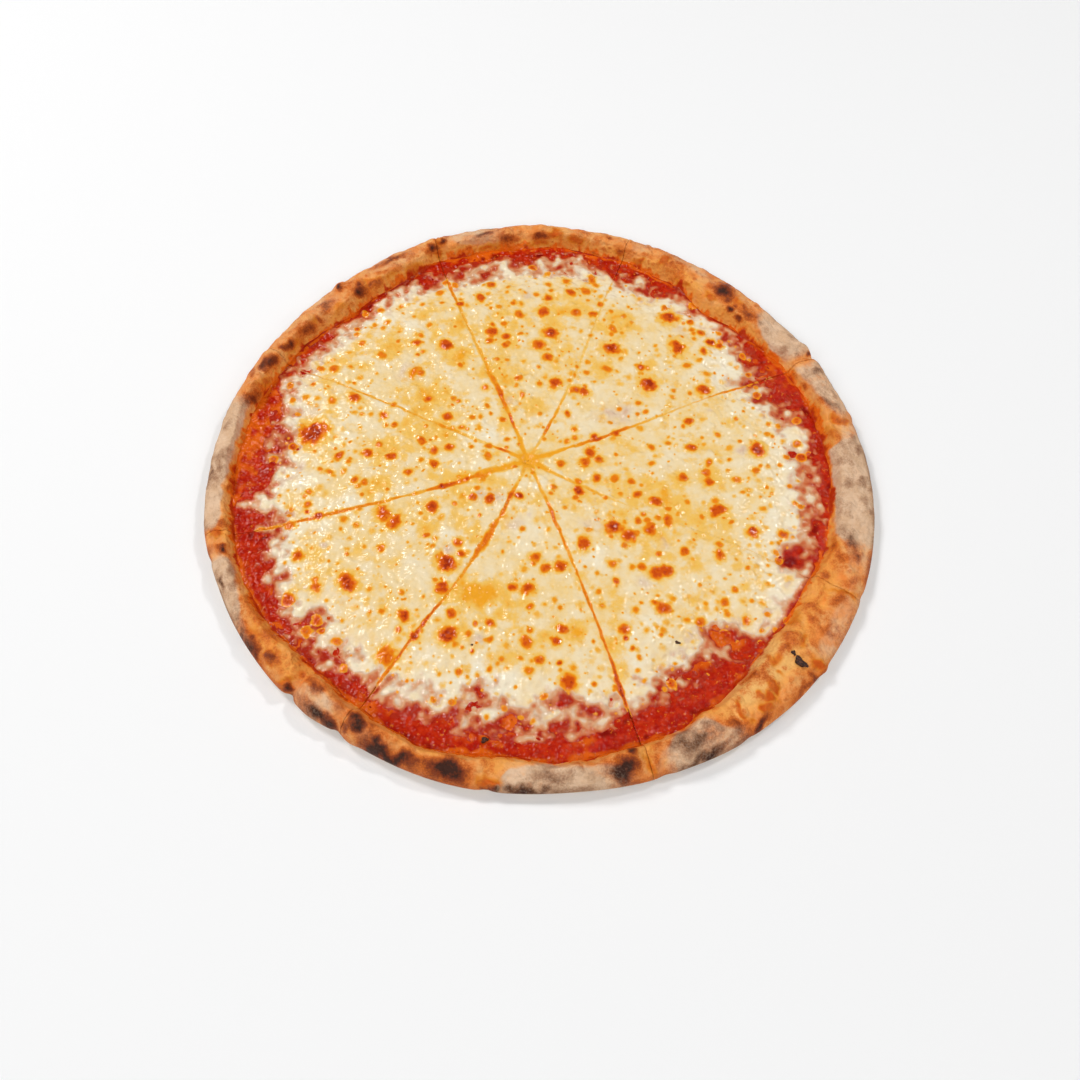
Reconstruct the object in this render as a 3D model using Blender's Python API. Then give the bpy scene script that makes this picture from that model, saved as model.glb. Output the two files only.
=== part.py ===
"""A margherita pizza of tomato sauce and melted cheese, cut into eight slices that still lie together.

Units are metres and +Z is up. The origin is on the surface that the pizza rests on, below the middle of its
outline. Bearings are in degrees, anticlockwise from +X. Each slice has three solids, one on another: the
crust with its raised rim, the sauce in the crust's shallow well, and the cheese on the sauce.
"""

import math
from functools import partial

import bmesh
import bpy
import numpy as np

MM = 0.001

# Heights, from the resting surface up
DOUGH_THICKNESS = 3.5 * MM
LAYER_GAP = 0.3 * MM
SAUCE_THICKNESS = 0.8 * MM
CHEESE_THICKNESS = 2.3 * MM
CHEESE_EDGE_THICKNESS = 0.9 * MM
CHEESE_CUT_DROP = 0.9 * MM
CHEESE_CUT_ROUNDING = 2.0 * MM
CHEESE_SWELL = 0.3 * MM
SWELL_LENGTH = 12.0 * MM
EDGE_HEIGHT = 4.2 * MM
EDGE_FACE = 0.8 * MM

# Plan
INNER_SLOPE = 5.5 * MM
UNDERSIDE_LIFT = 9.0 * MM
CRUST_TIP = 2.0 * MM
CHEESE_TIP = 4.0 * MM
CHEESE_SHOULDER = 6.0 * MM

# The cuts: eight runs of the knife out of one crossing, a little off the middle. Each is a bearing from the
# crossing, a bow and a swing: the millimetres that it drifts anticlockwise as half a wave and as a whole one
CUT_CROSSING = (-6.0 * MM, 4.5 * MM)
CUTS = (
    (23.1, -0.3, -1.2), (69.4, -2.2, -1.4), (111.0, 0.8, -0.8), (155.0, 0.5, 0.0),
    (196.7, 3.6, 0.0), (240.7, 4.6, 1.4), (289.5, 1.8, 0.0), (334.6, -0.4, -1.8),
)
CUT_LENGTH = 155.0 * MM
KERF = 1.0 * MM

# Closed curves round the pizza, as (bearing, millimetres) where each one turns
OUTLINE = (
    (0, 159.5), (12, 157.5), (25, 157.0), (40, 155.5), (58, 156.5), (80, 158.0), (95, 159.5), (112, 160.0),
    (128, 159.0), (145, 158.0), (160, 159.0), (180, 159.5), (193, 160.5), (206, 159.0), (222, 158.5),
    (240, 156.5), (256, 157.0), (275, 156.0), (290, 157.5), (305, 159.5), (318, 160.5), (340, 160.5),
)
MEAN_RADIUS = sum(radius for _, radius in OUTLINE) / len(OUTLINE) * MM
SAUCE_EDGE = (
    (0, 138.5), (15, 139.0), (27, 138.0), (37, 134.0), (49, 130.0), (60, 137.0), (72, 141.0), (90, 143.5),
    (112, 144.0), (124, 139.0), (135, 137.0), (150, 142.0), (165, 145.0), (195, 146.0), (208, 145.5),
    (222, 141.0), (234, 140.5), (248, 143.5), (264, 141.0), (282, 141.0), (297, 139.5), (310, 135.0),
    (320, 133.0), (332, 134.0), (345, 137.0),
)
CHEESE_EDGE = (
    (0, 130.0), (14, 130.0), (29, 125.0), (40, 127.5), (52, 126.0), (66, 129.0), (84, 132.5), (112, 132.5),
    (124, 131.0), (134, 133.5), (143, 134.0), (157, 136.0), (170, 129.0), (180, 128.0), (189, 138.0),
    (197, 131.0), (207, 134.5), (222, 136.0), (234, 130.0), (248, 131.0), (264, 128.0), (280, 125.5),
    (299, 124.5), (309, 118.0), (318, 127.0), (332, 128.5), (345, 131.0),
)
CREST_HEIGHT = (
    (0, 11.5), (24, 11.0), (40, 12.0), (66, 11.5), (90, 12.5), (114, 12.0), (131, 12.5), (164, 12.0),
    (186, 11.0), (206, 11.5), (220, 12.0), (233, 13.5), (250, 12.5), (264, 11.5), (284, 12.5), (298, 12.5),
    (312, 11.5), (330, 10.0), (345, 11.0),
)

# Blisters of the rim: bearing, distance in from the outer edge, width, height
RIM_BLISTERS = (
    (8, 14, 12, 1.0), (44, 10, 10, 1.5), (49.5, 7, 15, 2.4), (64, 7, 10, 1.2), (73, 11, 10, 1.4),
    (91, 7, 13, 2.2), (98, 9, 11, 2.0), (113.5, 7, 12, 2.2), (131.5, 11, 13, 2.4), (145, 8, 12, 1.6),
    (155.5, 6, 12, 1.6), (164, 8, 14, 2.2), (197, 7, 12, 1.4), (220, 7, 12, 1.6), (270, 9, 14, 1.2),
    (285, 10, 16, 2.6), (309.5, 7, 12, 1.6), (343, 15, 12, 1.2),
)

# Folds that run across the rim: bearing, half width, height, where a crease has a negative height. A fold
# moves the outer edge too, by a share of its height
FOLD_EDGE_SHARE = 0.5
RIM_FOLDS = (
    (12, 3.0, 1.0), (26.5, 2.2, -1.6), (29, 3.0, 1.2), (134.5, 2.5, 1.0), (199, 2.5, -1.0),
    (227.5, 2.6, -4.0), (232, 7.0, 1.6), (237.2, 2.4, -2.4), (240, 3.5, 1.4), (262.5, 3.0, -1.6),
    (290, 3.0, -1.2), (304.5, 3.0, -1.2), (321.5, 2.6, 2.0), (336, 2.4, -1.0),
)

# Grid of each solid: columns across the slice, and rows from its tip to its edge
CRUST_COLUMNS = 28
CRUST_ROWS = 12
CRUST_BASE_ROWS = 3
CRUST_SLOPE_ROWS = 3
SAUCE_COLUMNS = 12
SAUCE_ROWS = 3
CHEESE_COLUMNS = 14
CHEESE_ROWS = 10
CHEESE_SHOULDER_ROWS = 2
SHARP_ANGLE = 50.0

# Colours as linear red, green, blue, then roughness
CRUST_LOOK = ((0.62, 0.36, 0.17), 0.75)
SAUCE_LOOK = ((0.47, 0.03, 0.01), 0.30)
CHEESE_LOOK = ((0.84, 0.66, 0.31), 0.35)


def ease(share):
    """Smooth step from 0 to 1."""
    held = np.clip(share, 0.0, 1.0)
    return held * held * (3.0 - 2.0 * held)


def around(bearing, knots):
    """Metres at a bearing on a closed curve that eases from each (bearing, millimetres) knot to the next."""
    marks = np.array([knot[0] for knot in knots] + [knots[0][0] + 360.0], dtype=float)
    values = np.array([knot[1] for knot in knots] + [knots[0][1]], dtype=float)
    at = np.mod(bearing - marks[0], 360.0) + marks[0]
    left = np.clip(np.searchsorted(marks, at, side="right") - 1, 0, len(knots) - 1)
    share = (at - marks[left]) / (marks[left + 1] - marks[left])
    return (values[left] + (values[left + 1] - values[left]) * ease(share)) * MM


def apart(bearing, mark):
    """Degrees from mark to bearing, between -180 and 180."""
    return np.mod(bearing - mark + 180.0, 360.0) - 180.0


def fold_height(bearing):
    """Height that the folds add to the rim at a bearing."""
    height = np.zeros_like(bearing)
    for mark, half_width, rise in RIM_FOLDS:
        along = np.radians(apart(bearing, mark)) * MEAN_RADIUS
        height = height + rise * MM * np.exp(-((along / (half_width * MM)) ** 2))
    return height


def blister_height(bearing, inward):
    """Height that the blisters add to the rim, from the bearing and the distance in from the outer edge."""
    height = np.zeros_like(bearing)
    for mark, depth, width, rise in RIM_BLISTERS:
        along = np.radians(apart(bearing, mark)) * MEAN_RADIUS
        spread = (along ** 2 + (inward - depth * MM) ** 2) / (width * MM / 2.0) ** 2
        height = height + rise * MM * np.clip(1.0 - spread, 0.0, 1.0) ** 1.5
    return height


def edge_radius(bearing):
    """Radius of the outer edge."""
    return around(bearing, OUTLINE) + FOLD_EDGE_SHARE * fold_height(bearing)


def outline_middle():
    """Middle of the box round the outline, which the origin is put below."""
    bearing = np.arange(0.0, 360.0, 0.5)
    radius = edge_radius(bearing)
    x = radius * np.cos(np.radians(bearing))
    y = radius * np.sin(np.radians(bearing))
    return (x.min() + x.max()) / 2.0, (y.min() + y.max()) / 2.0


def ray_reach(ray, radius):
    """Distance from the crossing, along a ray's bearing, to the circle of that radius about the middle."""
    along = CUT_CROSSING[0] * np.cos(np.radians(ray)) + CUT_CROSSING[1] * np.sin(np.radians(ray))
    crossing_squared = CUT_CROSSING[0] ** 2 + CUT_CROSSING[1] ** 2
    return -along + np.sqrt(radius ** 2 - crossing_squared + along ** 2)


def rim_bearing(ray):
    """Bearing about the middle of the point where a ray from the crossing meets the outline."""
    reach = ray_reach(ray, MEAN_RADIUS)
    x = CUT_CROSSING[0] + reach * np.cos(np.radians(ray))
    y = CUT_CROSSING[1] + reach * np.sin(np.radians(ray))
    return np.degrees(np.arctan2(y, x))


def cut_drift(cut, reach):
    """Anticlockwise drift of a cut from its straight ray, at a distance from the crossing."""
    bow, swing = CUTS[cut % len(CUTS)][1:]
    turn = math.pi * reach / CUT_LENGTH
    return (bow * np.sin(turn) + swing * np.sin(2.0 * turn)) * MM


def slice_rays(index, across):
    """Bearings from the crossing of the columns of a slice, across running from its first cut to its next."""
    first = CUTS[index][0]
    following = CUTS[(index + 1) % len(CUTS)][0]
    return first + np.mod(following - first, 360.0) * across


def slice_plan(index, across, reach):
    """X and Y of points of a slice, from the share across it and the reach from the crossing.

    The slice's own rays start a little outward on its middle line, which leaves half a kerf along both cuts.
    """
    ray = np.radians(slice_rays(index, across))
    drift = cut_drift(index, reach) * (1.0 - across) + cut_drift(index + 1, reach) * across
    middle_ray = math.radians(float(slice_rays(index, 0.5)))
    outward = KERF / 2.0 / math.sin(middle_ray - math.radians(CUTS[index][0]))
    centre_x, centre_y = outline_middle()
    tip_x = CUT_CROSSING[0] - centre_x + outward * math.cos(middle_ray)
    tip_y = CUT_CROSSING[1] - centre_y + outward * math.sin(middle_ray)
    x = tip_x + (reach - outward) * np.cos(ray) - drift * np.sin(ray)
    y = tip_y + (reach - outward) * np.sin(ray) + drift * np.cos(ray)
    return x, y


def crust_top(bearing, share):
    """Radius and height of the rim's upper side, the share running from the rim's foot to its outer edge.

    The first part climbs the inner slope to the crest. The rest is a quarter of an ellipse, down to the edge.
    """
    edge = edge_radius(bearing)
    foot = around(bearing, SAUCE_EDGE) + LAYER_GAP
    crest = foot + INNER_SLOPE
    crest_height = around(bearing, CREST_HEIGHT)
    slope_part = CRUST_SLOPE_ROWS / (CRUST_ROWS - CRUST_BASE_ROWS)
    climb = np.clip(share / slope_part, 0.0, 1.0)
    turn = np.clip((share - slope_part) / (1.0 - slope_part), 0.0, 1.0) * math.pi / 2.0
    radius = foot + INNER_SLOPE * climb + (edge - crest) * np.sin(turn)
    edge_top = EDGE_HEIGHT + EDGE_FACE / 2.0
    height = DOUGH_THICKNESS + (crest_height - DOUGH_THICKNESS) * ease(climb)
    height = height - (crest_height - edge_top) * (1.0 - np.cos(turn))
    raised = ease(climb) * np.sqrt(np.clip(np.cos(turn), 0.0, 1.0))
    return radius, height + (fold_height(bearing) + blister_height(bearing, edge - radius)) * raised


def crust_underside(inward):
    """Height of the underside, flat but for a quarter of an ellipse that lifts it to the outer edge."""
    out = 1.0 - np.clip(inward / UNDERSIDE_LIFT, 0.0, 1.0)
    return (EDGE_HEIGHT - EDGE_FACE / 2.0) * (1.0 - np.sqrt(1.0 - out ** 2))


def crust_layer(index, across, along):
    """X, Y, underside and top of a slice's crust."""
    ray = slice_rays(index, across)
    bearing = rim_bearing(ray)
    base_part = CRUST_BASE_ROWS / CRUST_ROWS
    rim_radius, rim_height = crust_top(bearing, np.clip((along - base_part) / (1.0 - base_part), 0.0, 1.0))
    foot_reach = ray_reach(ray, around(bearing, SAUCE_EDGE) + LAYER_GAP)
    base_reach = CRUST_TIP + (foot_reach - CRUST_TIP) * along / base_part
    on_base = along < base_part
    x, y = slice_plan(index, across, np.where(on_base, base_reach, ray_reach(ray, rim_radius)))
    inward = np.where(on_base, UNDERSIDE_LIFT, edge_radius(bearing) - rim_radius)
    return x, y, crust_underside(inward), np.where(on_base, DOUGH_THICKNESS, rim_height)


def sauce_layer(index, across, along):
    """X, Y, underside and top of a slice's sauce, a flat layer in the crust's well."""
    ray = slice_rays(index, across)
    edge_reach = ray_reach(ray, around(rim_bearing(ray), SAUCE_EDGE))
    x, y = slice_plan(index, across, CRUST_TIP + (edge_reach - CRUST_TIP) * along)
    bottom = np.full_like(x, DOUGH_THICKNESS + LAYER_GAP)
    return x, y, bottom, bottom + SAUCE_THICKNESS


def cheese_layer(index, across, along):
    """X, Y, underside and top of a slice's cheese, which swells, and is thin at its edge and at the cuts."""
    spread = 0.5 - 0.5 * np.cos(math.pi * across)
    ray = slice_rays(index, spread)
    edge_reach = ray_reach(ray, around(rim_bearing(ray), CHEESE_EDGE))
    field_part = 1.0 - CHEESE_SHOULDER_ROWS / CHEESE_ROWS
    field_reach = CHEESE_TIP + (edge_reach - CHEESE_SHOULDER - CHEESE_TIP) * along / field_part
    shoulder_reach = edge_reach - CHEESE_SHOULDER * (1.0 - along) / (1.0 - field_part)
    reach = np.where(along < field_part, field_reach, shoulder_reach)
    x, y = slice_plan(index, spread, reach)
    bottom = np.full_like(x, DOUGH_THICKNESS + SAUCE_THICKNESS + 2.0 * LAYER_GAP)
    fullness = ease((edge_reach - reach) / CHEESE_SHOULDER)
    thickness = CHEESE_EDGE_THICKNESS + (CHEESE_THICKNESS - CHEESE_EDGE_THICKNESS) * fullness
    swell = np.sin(x / SWELL_LENGTH) * np.cos(y / SWELL_LENGTH) + np.sin((x + y) / SWELL_LENGTH / 2.0)
    slice_angle = math.radians(360.0 / len(CUTS))
    to_cut = np.minimum(spread, 1.0 - spread) * slice_angle * reach
    worn = np.minimum(CHEESE_CUT_DROP, thickness / 2.0) * (1.0 - ease(to_cut / CHEESE_CUT_ROUNDING))
    return x, y, bottom, bottom + thickness + CHEESE_SWELL * swell * fullness - worn


def slab(name, columns, rows, layer, look, collection):
    """A closed solid: a grid primitive is extruded into two sheets, and layer() puts the points in place."""
    shape = bmesh.new()
    bmesh.ops.create_grid(shape, x_segments=columns, y_segments=rows, size=0.5)
    raised = bmesh.ops.extrude_face_region(shape, geom=list(shape.faces))
    upper_points = {item for item in raised["geom"] if isinstance(item, bmesh.types.BMVert)}
    points = list(shape.verts)
    is_upper = np.array([point in upper_points for point in points])
    across = np.array([point.co.x for point in points]) + 0.5
    along = np.array([point.co.y for point in points]) + 0.5
    x, y, underside, top = layer(across, along)
    placed = np.column_stack((x, y, np.where(is_upper, top, underside)))
    for point, place in zip(points, placed):
        point.co = place
    bmesh.ops.recalc_face_normals(shape, faces=list(shape.faces))
    mesh = bpy.data.meshes.new(name)
    shape.to_mesh(mesh)
    shape.free()
    mesh.shade_smooth()
    mesh.set_sharp_from_angle(angle=math.radians(SHARP_ANGLE))
    mesh.materials.append(material(name, look))
    collection.objects.link(bpy.data.objects.new(name, mesh))


def material(name, look):
    """A plain Principled material of one colour and roughness."""
    colour, roughness = look
    made = bpy.data.materials.new(name)
    made.use_nodes = True
    shader = made.node_tree.nodes["Principled BSDF"]
    shader.inputs["Base Color"].default_value = (*colour, 1.0)
    shader.inputs["Roughness"].default_value = roughness
    shader.inputs["Metallic"].default_value = 0.0
    return made


def empty_scene():
    """Removes the objects that a new scene opens with."""
    for item in list(bpy.data.objects):
        bpy.data.objects.remove(item)


def build():
    """Makes the three solids of each of the eight slices."""
    empty_scene()
    pizza = bpy.data.collections.new("margherita_pizza")
    bpy.context.scene.collection.children.link(pizza)
    layers = (
        ("crust", CRUST_COLUMNS, CRUST_ROWS, crust_layer, CRUST_LOOK),
        ("sauce", SAUCE_COLUMNS, SAUCE_ROWS, sauce_layer, SAUCE_LOOK),
        ("cheese", CHEESE_COLUMNS, CHEESE_ROWS, cheese_layer, CHEESE_LOOK),
    )
    for index in range(len(CUTS)):
        for kind, columns, rows, layer, look in layers:
            slab(f"{kind}_{index + 1}", columns, rows, partial(layer, index), look, pizza)


build()
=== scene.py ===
"""Looks of a margherita pizza: a blistered crust, tomato sauce and melted cheese, cut into eight slices.

Every piece is a surface worked out on a grid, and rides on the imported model's one body. A plan position is in
metres from the point that the outline's radii are measured from. The model's origin is a little beside that
point, below the middle of the outline's box. Bearings are in degrees, anticlockwise from +X, and marks are in
millimetres. Colours are in linear light.
"""

import math

import bpy
import numpy as np
from mathutils import Matrix, Vector


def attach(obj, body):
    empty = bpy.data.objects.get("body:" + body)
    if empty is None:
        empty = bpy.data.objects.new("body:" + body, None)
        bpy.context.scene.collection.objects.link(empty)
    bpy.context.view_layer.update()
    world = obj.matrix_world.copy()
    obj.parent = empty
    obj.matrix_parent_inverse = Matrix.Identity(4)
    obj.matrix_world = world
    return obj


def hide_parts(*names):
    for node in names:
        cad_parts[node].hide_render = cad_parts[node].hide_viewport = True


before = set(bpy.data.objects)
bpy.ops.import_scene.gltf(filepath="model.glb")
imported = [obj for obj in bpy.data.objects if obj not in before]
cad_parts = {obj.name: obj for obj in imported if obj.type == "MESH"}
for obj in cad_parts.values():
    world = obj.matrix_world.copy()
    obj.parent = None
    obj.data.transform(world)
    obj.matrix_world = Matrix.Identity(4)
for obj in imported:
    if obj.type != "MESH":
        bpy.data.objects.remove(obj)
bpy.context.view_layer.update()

MM = 0.001

# Heights, from the resting surface up, as in the model's source
DOUGH_THICKNESS = 3.5 * MM
LAYER_GAP = 0.3 * MM
SAUCE_TOP = 4.6 * MM
EDGE_HEIGHT = 4.2 * MM
EDGE_FACE = 0.8 * MM

# Plan, as in the model's source. A cut has the bearing of its ray from the crossing, its bow and its swing
INNER_SLOPE = 5.5 * MM
UNDERSIDE_LIFT = 9.0 * MM
CRUST_TIP = 2.0 * MM
CUT_CROSSING = (-6.0 * MM, 4.5 * MM)
CUTS = (
    (23.1, -0.3, -1.2), (69.4, -2.2, -1.4), (111.0, 0.8, -0.8), (155.0, 0.5, 0.0),
    (196.7, 3.6, 0.0), (240.7, 4.6, 1.4), (289.5, 1.8, 0.0), (334.6, -0.4, -1.8),
)
CUT_LENGTH = 155.0 * MM
SLICES = len(CUTS)

# How each cut shows: distance from the crossing and width in mm, then orange and brown in hundredths
CUT_MARKS = (
    ((0, 3.0, 100, 10), (12, 2.6, 100, 10), (22, 1.8, 90, 20), (30, 1.6, 90, 35), (35, 2.6, 90, 85),
     (39, 1.4, 80, 55), (45, 2.0, 85, 75), (52, 1.2, 80, 35), (60, 1.0, 75, 10), (75, 1.0, 40, 10),
     (95, 0.8, 25, 15), (112, 1.2, 60, 45), (130, 1.2, 50, 60)),
    ((0, 2.6, 100, 5), (8, 1.6, 70, 5), (14, 1.2, 55, 5), (18, 1.4, 80, 40), (21, 1.6, 85, 60),
     (26, 1.3, 85, 25), (36, 1.2, 80, 20), (44, 1.2, 60, 10), (52, 1.4, 45, 0), (70, 1.2, 45, 5),
     (90, 1.0, 40, 5), (128, 0.8, 30, 10)),
    ((0, 2.6, 100, 5), (10, 2.0, 100, 5), (18, 1.8, 100, 10), (23, 1.8, 95, 70), (26, 1.8, 95, 85),
     (30, 1.6, 90, 20), (36, 2.4, 95, 45), (41, 3.0, 100, 65), (47, 2.8, 95, 45), (55, 2.4, 90, 30),
     (62, 1.8, 80, 15), (80, 1.6, 70, 10), (100, 1.4, 60, 20), (125, 1.8, 70, 45)),
    ((0, 2.6, 100, 5), (7, 2.2, 95, 10), (11, 1.2, 80, 50), (15, 1.0, 70, 55), (20, 1.2, 55, 15),
     (28, 1.4, 45, 0), (34, 1.6, 60, 10), (40, 2.6, 80, 15), (46, 3.0, 85, 35), (52, 1.6, 60, 15),
     (70, 1.1, 60, 20), (90, 1.0, 50, 20), (115, 0.8, 35, 15), (135, 0.8, 30, 20)),
    ((0, 3.2, 100, 5), (8, 3.0, 100, 10), (16, 3.2, 100, 20), (26, 4.0, 100, 35), (31, 3.6, 100, 50),
     (36, 2.6, 100, 40), (40, 2.4, 95, 70), (43, 2.8, 95, 95), (46, 2.2, 90, 75), (52, 1.8, 70, 20),
     (65, 1.6, 70, 25), (80, 1.6, 70, 35), (100, 1.6, 65, 40), (120, 1.4, 50, 50), (138, 1.6, 60, 60)),
    ((0, 2.4, 100, 5), (5, 1.4, 80, 10), (12, 1.0, 60, 5), (17, 1.6, 70, 30), (20, 3.0, 90, 75),
     (24, 2.0, 85, 60), (30, 1.8, 90, 40), (38, 2.4, 95, 40), (46, 3.4, 100, 45), (54, 3.0, 95, 55),
     (62, 1.6, 60, 30), (80, 1.2, 50, 30), (92, 1.4, 55, 60), (100, 2.0, 70, 80), (108, 1.4, 60, 50),
     (130, 1.2, 50, 50)),
    ((0, 2.6, 100, 5), (6, 2.4, 100, 5), (12, 1.4, 85, 5), (20, 1.4, 80, 10), (28, 1.6, 90, 50),
     (31, 1.8, 90, 75), (36, 1.8, 85, 50), (44, 1.4, 80, 40), (52, 1.2, 70, 30), (64, 1.2, 60, 30),
     (80, 1.2, 60, 45), (95, 1.2, 60, 45), (110, 1.4, 60, 55), (118, 2.2, 80, 90), (124, 2.4, 80, 95),
     (134, 1.6, 60, 70)),
    ((0, 2.6, 100, 5), (8, 2.0, 95, 5), (14, 1.4, 80, 5), (22, 1.4, 75, 10), (30, 1.4, 70, 15),
     (38, 1.2, 55, 20), (46, 1.2, 45, 5), (60, 1.0, 25, 0), (90, 0.8, 15, 0), (125, 0.8, 25, 10)),
)

# Closed curves round the pizza, as in the model's source: bearing and millimetres
OUTLINE = (
    (0, 159.5), (12, 157.5), (25, 157.0), (40, 155.5), (58, 156.5), (80, 158.0), (95, 159.5), (112, 160.0),
    (128, 159.0), (145, 158.0), (160, 159.0), (180, 159.5), (193, 160.5), (206, 159.0), (222, 158.5),
    (240, 156.5), (256, 157.0), (275, 156.0), (290, 157.5), (305, 159.5), (318, 160.5), (340, 160.5),
)
MEAN_RADIUS = sum(radius for _, radius in OUTLINE) / len(OUTLINE) * MM
SAUCE_EDGE = (
    (0, 138.5), (15, 139.0), (27, 138.0), (37, 134.0), (49, 130.0), (60, 137.0), (72, 141.0), (90, 143.5),
    (112, 144.0), (124, 139.0), (135, 137.0), (150, 142.0), (165, 145.0), (195, 146.0), (208, 145.5),
    (222, 141.0), (234, 140.5), (248, 143.5), (264, 141.0), (282, 141.0), (297, 139.5), (310, 135.0),
    (320, 133.0), (332, 134.0), (345, 137.0),
)
CHEESE_EDGE = (
    (0, 131.0), (14, 131.0), (24, 126.0), (31, 125.0), (38, 131.0), (44, 134.5), (54, 134.5), (62, 131.0),
    (70, 132.5), (84, 137.0), (96, 135.0), (112, 133.0), (122, 138.0), (134, 138.5), (143, 137.0),
    (157, 141.0), (165, 134.0), (172, 129.0), (180, 128.0), (189, 138.0), (197, 132.0), (207, 137.5),
    (222, 138.0), (234, 132.0), (248, 132.0), (264, 129.0), (280, 127.0), (299, 125.0), (309, 121.0),
    (315, 134.0), (324, 137.0), (332, 135.5), (345, 133.0),
)
CREST_HEIGHT = (
    (0, 11.5), (24, 11.0), (40, 12.0), (66, 11.5), (90, 12.5), (114, 12.0), (131, 12.5), (164, 12.0),
    (186, 11.0), (206, 11.5), (220, 12.0), (233, 13.5), (250, 12.5), (264, 11.5), (284, 12.5), (298, 12.5),
    (312, 11.5), (330, 10.0), (345, 11.0),
)

# Large blisters, as in the model's source: bearing, depth in from the outline, width, height
RIM_BLISTERS = (
    (8, 14, 12, 1.0), (44, 10, 10, 1.5), (49.5, 7, 15, 2.4), (64, 7, 10, 1.2), (73, 11, 10, 1.4),
    (91, 7, 13, 2.2), (98, 9, 11, 2.0), (113.5, 7, 12, 2.2), (131.5, 11, 13, 2.4), (145, 8, 12, 1.6),
    (155.5, 6, 12, 1.6), (164, 8, 14, 2.2), (197, 7, 12, 1.4), (220, 7, 12, 1.6), (270, 9, 14, 1.2),
    (285, 10, 16, 2.6), (309.5, 7, 12, 1.6), (343, 15, 12, 1.2),
)

# Folds and notches, as in the model's source: bearing, half width, height, of which the outline takes a share
FOLD_EDGE_SHARE = 0.5
RIM_FOLDS = (
    (12, 3.0, 1.0), (26.5, 2.2, -1.6), (29, 3.0, 1.2), (134.5, 2.5, 1.0), (199, 2.5, -1.0),
    (227.5, 2.6, -4.0), (232, 7.0, 1.6), (237.2, 2.4, -2.4), (240, 3.5, 1.4), (262.5, 3.0, -1.6),
    (290, 3.0, -1.2), (304.5, 3.0, -1.2), (321.5, 2.6, 2.0), (336, 2.4, -1.0),
)

# The marks further down were read in perspective from this eye, on a level plane at this height
EYE = (0.2 * MM, -258.3 * MM, 415.5 * MM)
MARK_PLANE = 6.0 * MM

# The visible kerf is a little narrower than the source's, where the melted edges lean in
CRUST_KERF = 0.2 * MM
CHEESE_KERF = 0.3 * MM

# Grids: columns across a slice, rows outward, and how many of them one cell of the underside spans
CRUST_COLUMNS = 216
CRUST_BASE_ROWS = 6
CRUST_SLOPE_ROWS = 26
CRUST_OUTER_ROWS = 48
CRUST_STRIDE = 3
SAUCE_COLUMNS = 160
SAUCE_INNER_ROWS = 8
SAUCE_RING_ROWS = 80
SAUCE_RING_WIDTH = 46.0 * MM
SAUCE_STRIDE = 8
CHEESE_COLUMNS = 184
CHEESE_ROWS = 224
CHEESE_STRIDE = 8
CHEESE_TIP = 1.6 * MM

# Relief of the cheese, and how it is worn down beside the cuts and where they cross
CHEESE_RISE = 2.4 * MM
CHEESE_FILM = 0.25 * MM
CHEESE_BOTTOM = 4.3 * MM
CHEESE_CUT_DROP = 0.25 * MM
CROSSING_DROP = 0.6 * MM
CROSSING_SIZE = 5.0 * MM

# Edge of the cheese, in millimetres of cover: how far it is set out, thinned, frayed and kept inside the grid
EDGE_OUTSET = 2.0
EDGE_THINNING = 6.0
EDGE_THINNING_REACH = 15.0
EDGE_FRAY_REACH = 26.0
STRAND_COVER = 5.0
STRAND_LEVEL = 0.26
LIMIT_MARGIN = 2.0

# Random freckles of the cheese, and the seeds of the random draws
FRECKLE_COUNT = 1700
FRECKLE_REACH = 128.0
FRECKLE_SEED = 41
MARK_SHAPE_SEED = 43
BUBBLE_SEED = 57

# Sauce and rim where they meet
SAUCE_OVERLAP = 5.0 * MM
GROUND_CORNER = 0.6 * MM
BUBBLE_GAIN = 1.4

# Smear of cheese on the rim, in degrees
SMEAR_BEARING = 313.0
SMEAR_HALF_WIDTH = 8.5

# Ribbons in the cuts
FILLING_ROWS = 320
FILLING_COLUMNS = 4
FILLING_STRIDE = 4

# Noises: each row has a strength, a length in millimetres and a seed
RIM_WANDER = ((1.8, 11.0, 68), (0.4, 5.0, 69))
RIM_LUMPS = ((0.80, 12.0, 61), (1.05, 6.0, 62))
RIM_ROUGHNESS = ((0.60, 3.0, 63), (0.14, 1.4, 64))
LUMP_TOPS = ((0.6, 6.0, 62), (0.4, 3.0, 63))
CRACKLE = ((0.30, 1.7, 65), (0.2, 0.9, 66))
PATCH_SHIFT_X = ((2.2, 6.0, 73), (1.2, 2.6, 75))
PATCH_SHIFT_Y = ((2.2, 6.0, 74), (1.2, 2.6, 76))
PULP = ((0.30, 5.5, 3), (0.22, 2.6, 4), (0.10, 1.3, 5))
SHORE_WANDER = ((1.2, 7.0, 51), (0.5, 3.0, 52))
SAUCE_MOTTLE = ((0.40, 4.4, 55), (0.25, 2.2, 56))
EDGE_RAGS = ((3.0, 9.0, 11), (3.0, 4.6, 12), (2.6, 2.6, 13))
LOOSE_STRANDS = ((0.62, 4.2, 15), (0.50, 2.3, 16))
MARK_WANDER = ((0.28, 2.6, 21), (0.16, 1.3, 22))
CHEESE_LUMPS = ((0.30, 9.0, 32), (0.20, 4.2, 33), (0.12, 2.0, 34))
CHEESE_STRANDS = ((0.34, 4.6, 35), (0.24, 2.4, 36))
VEIL_WANDER = ((1.6, 3.4, 38), (0.8, 1.7, 40))
CUT_WIDTH_WANDER = ((0.45, 5.0, 91), (0.35, 2.2, 92))
CUT_SHIFT = ((0.35, 6.0, 93), (0.25, 2.6, 94))

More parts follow.
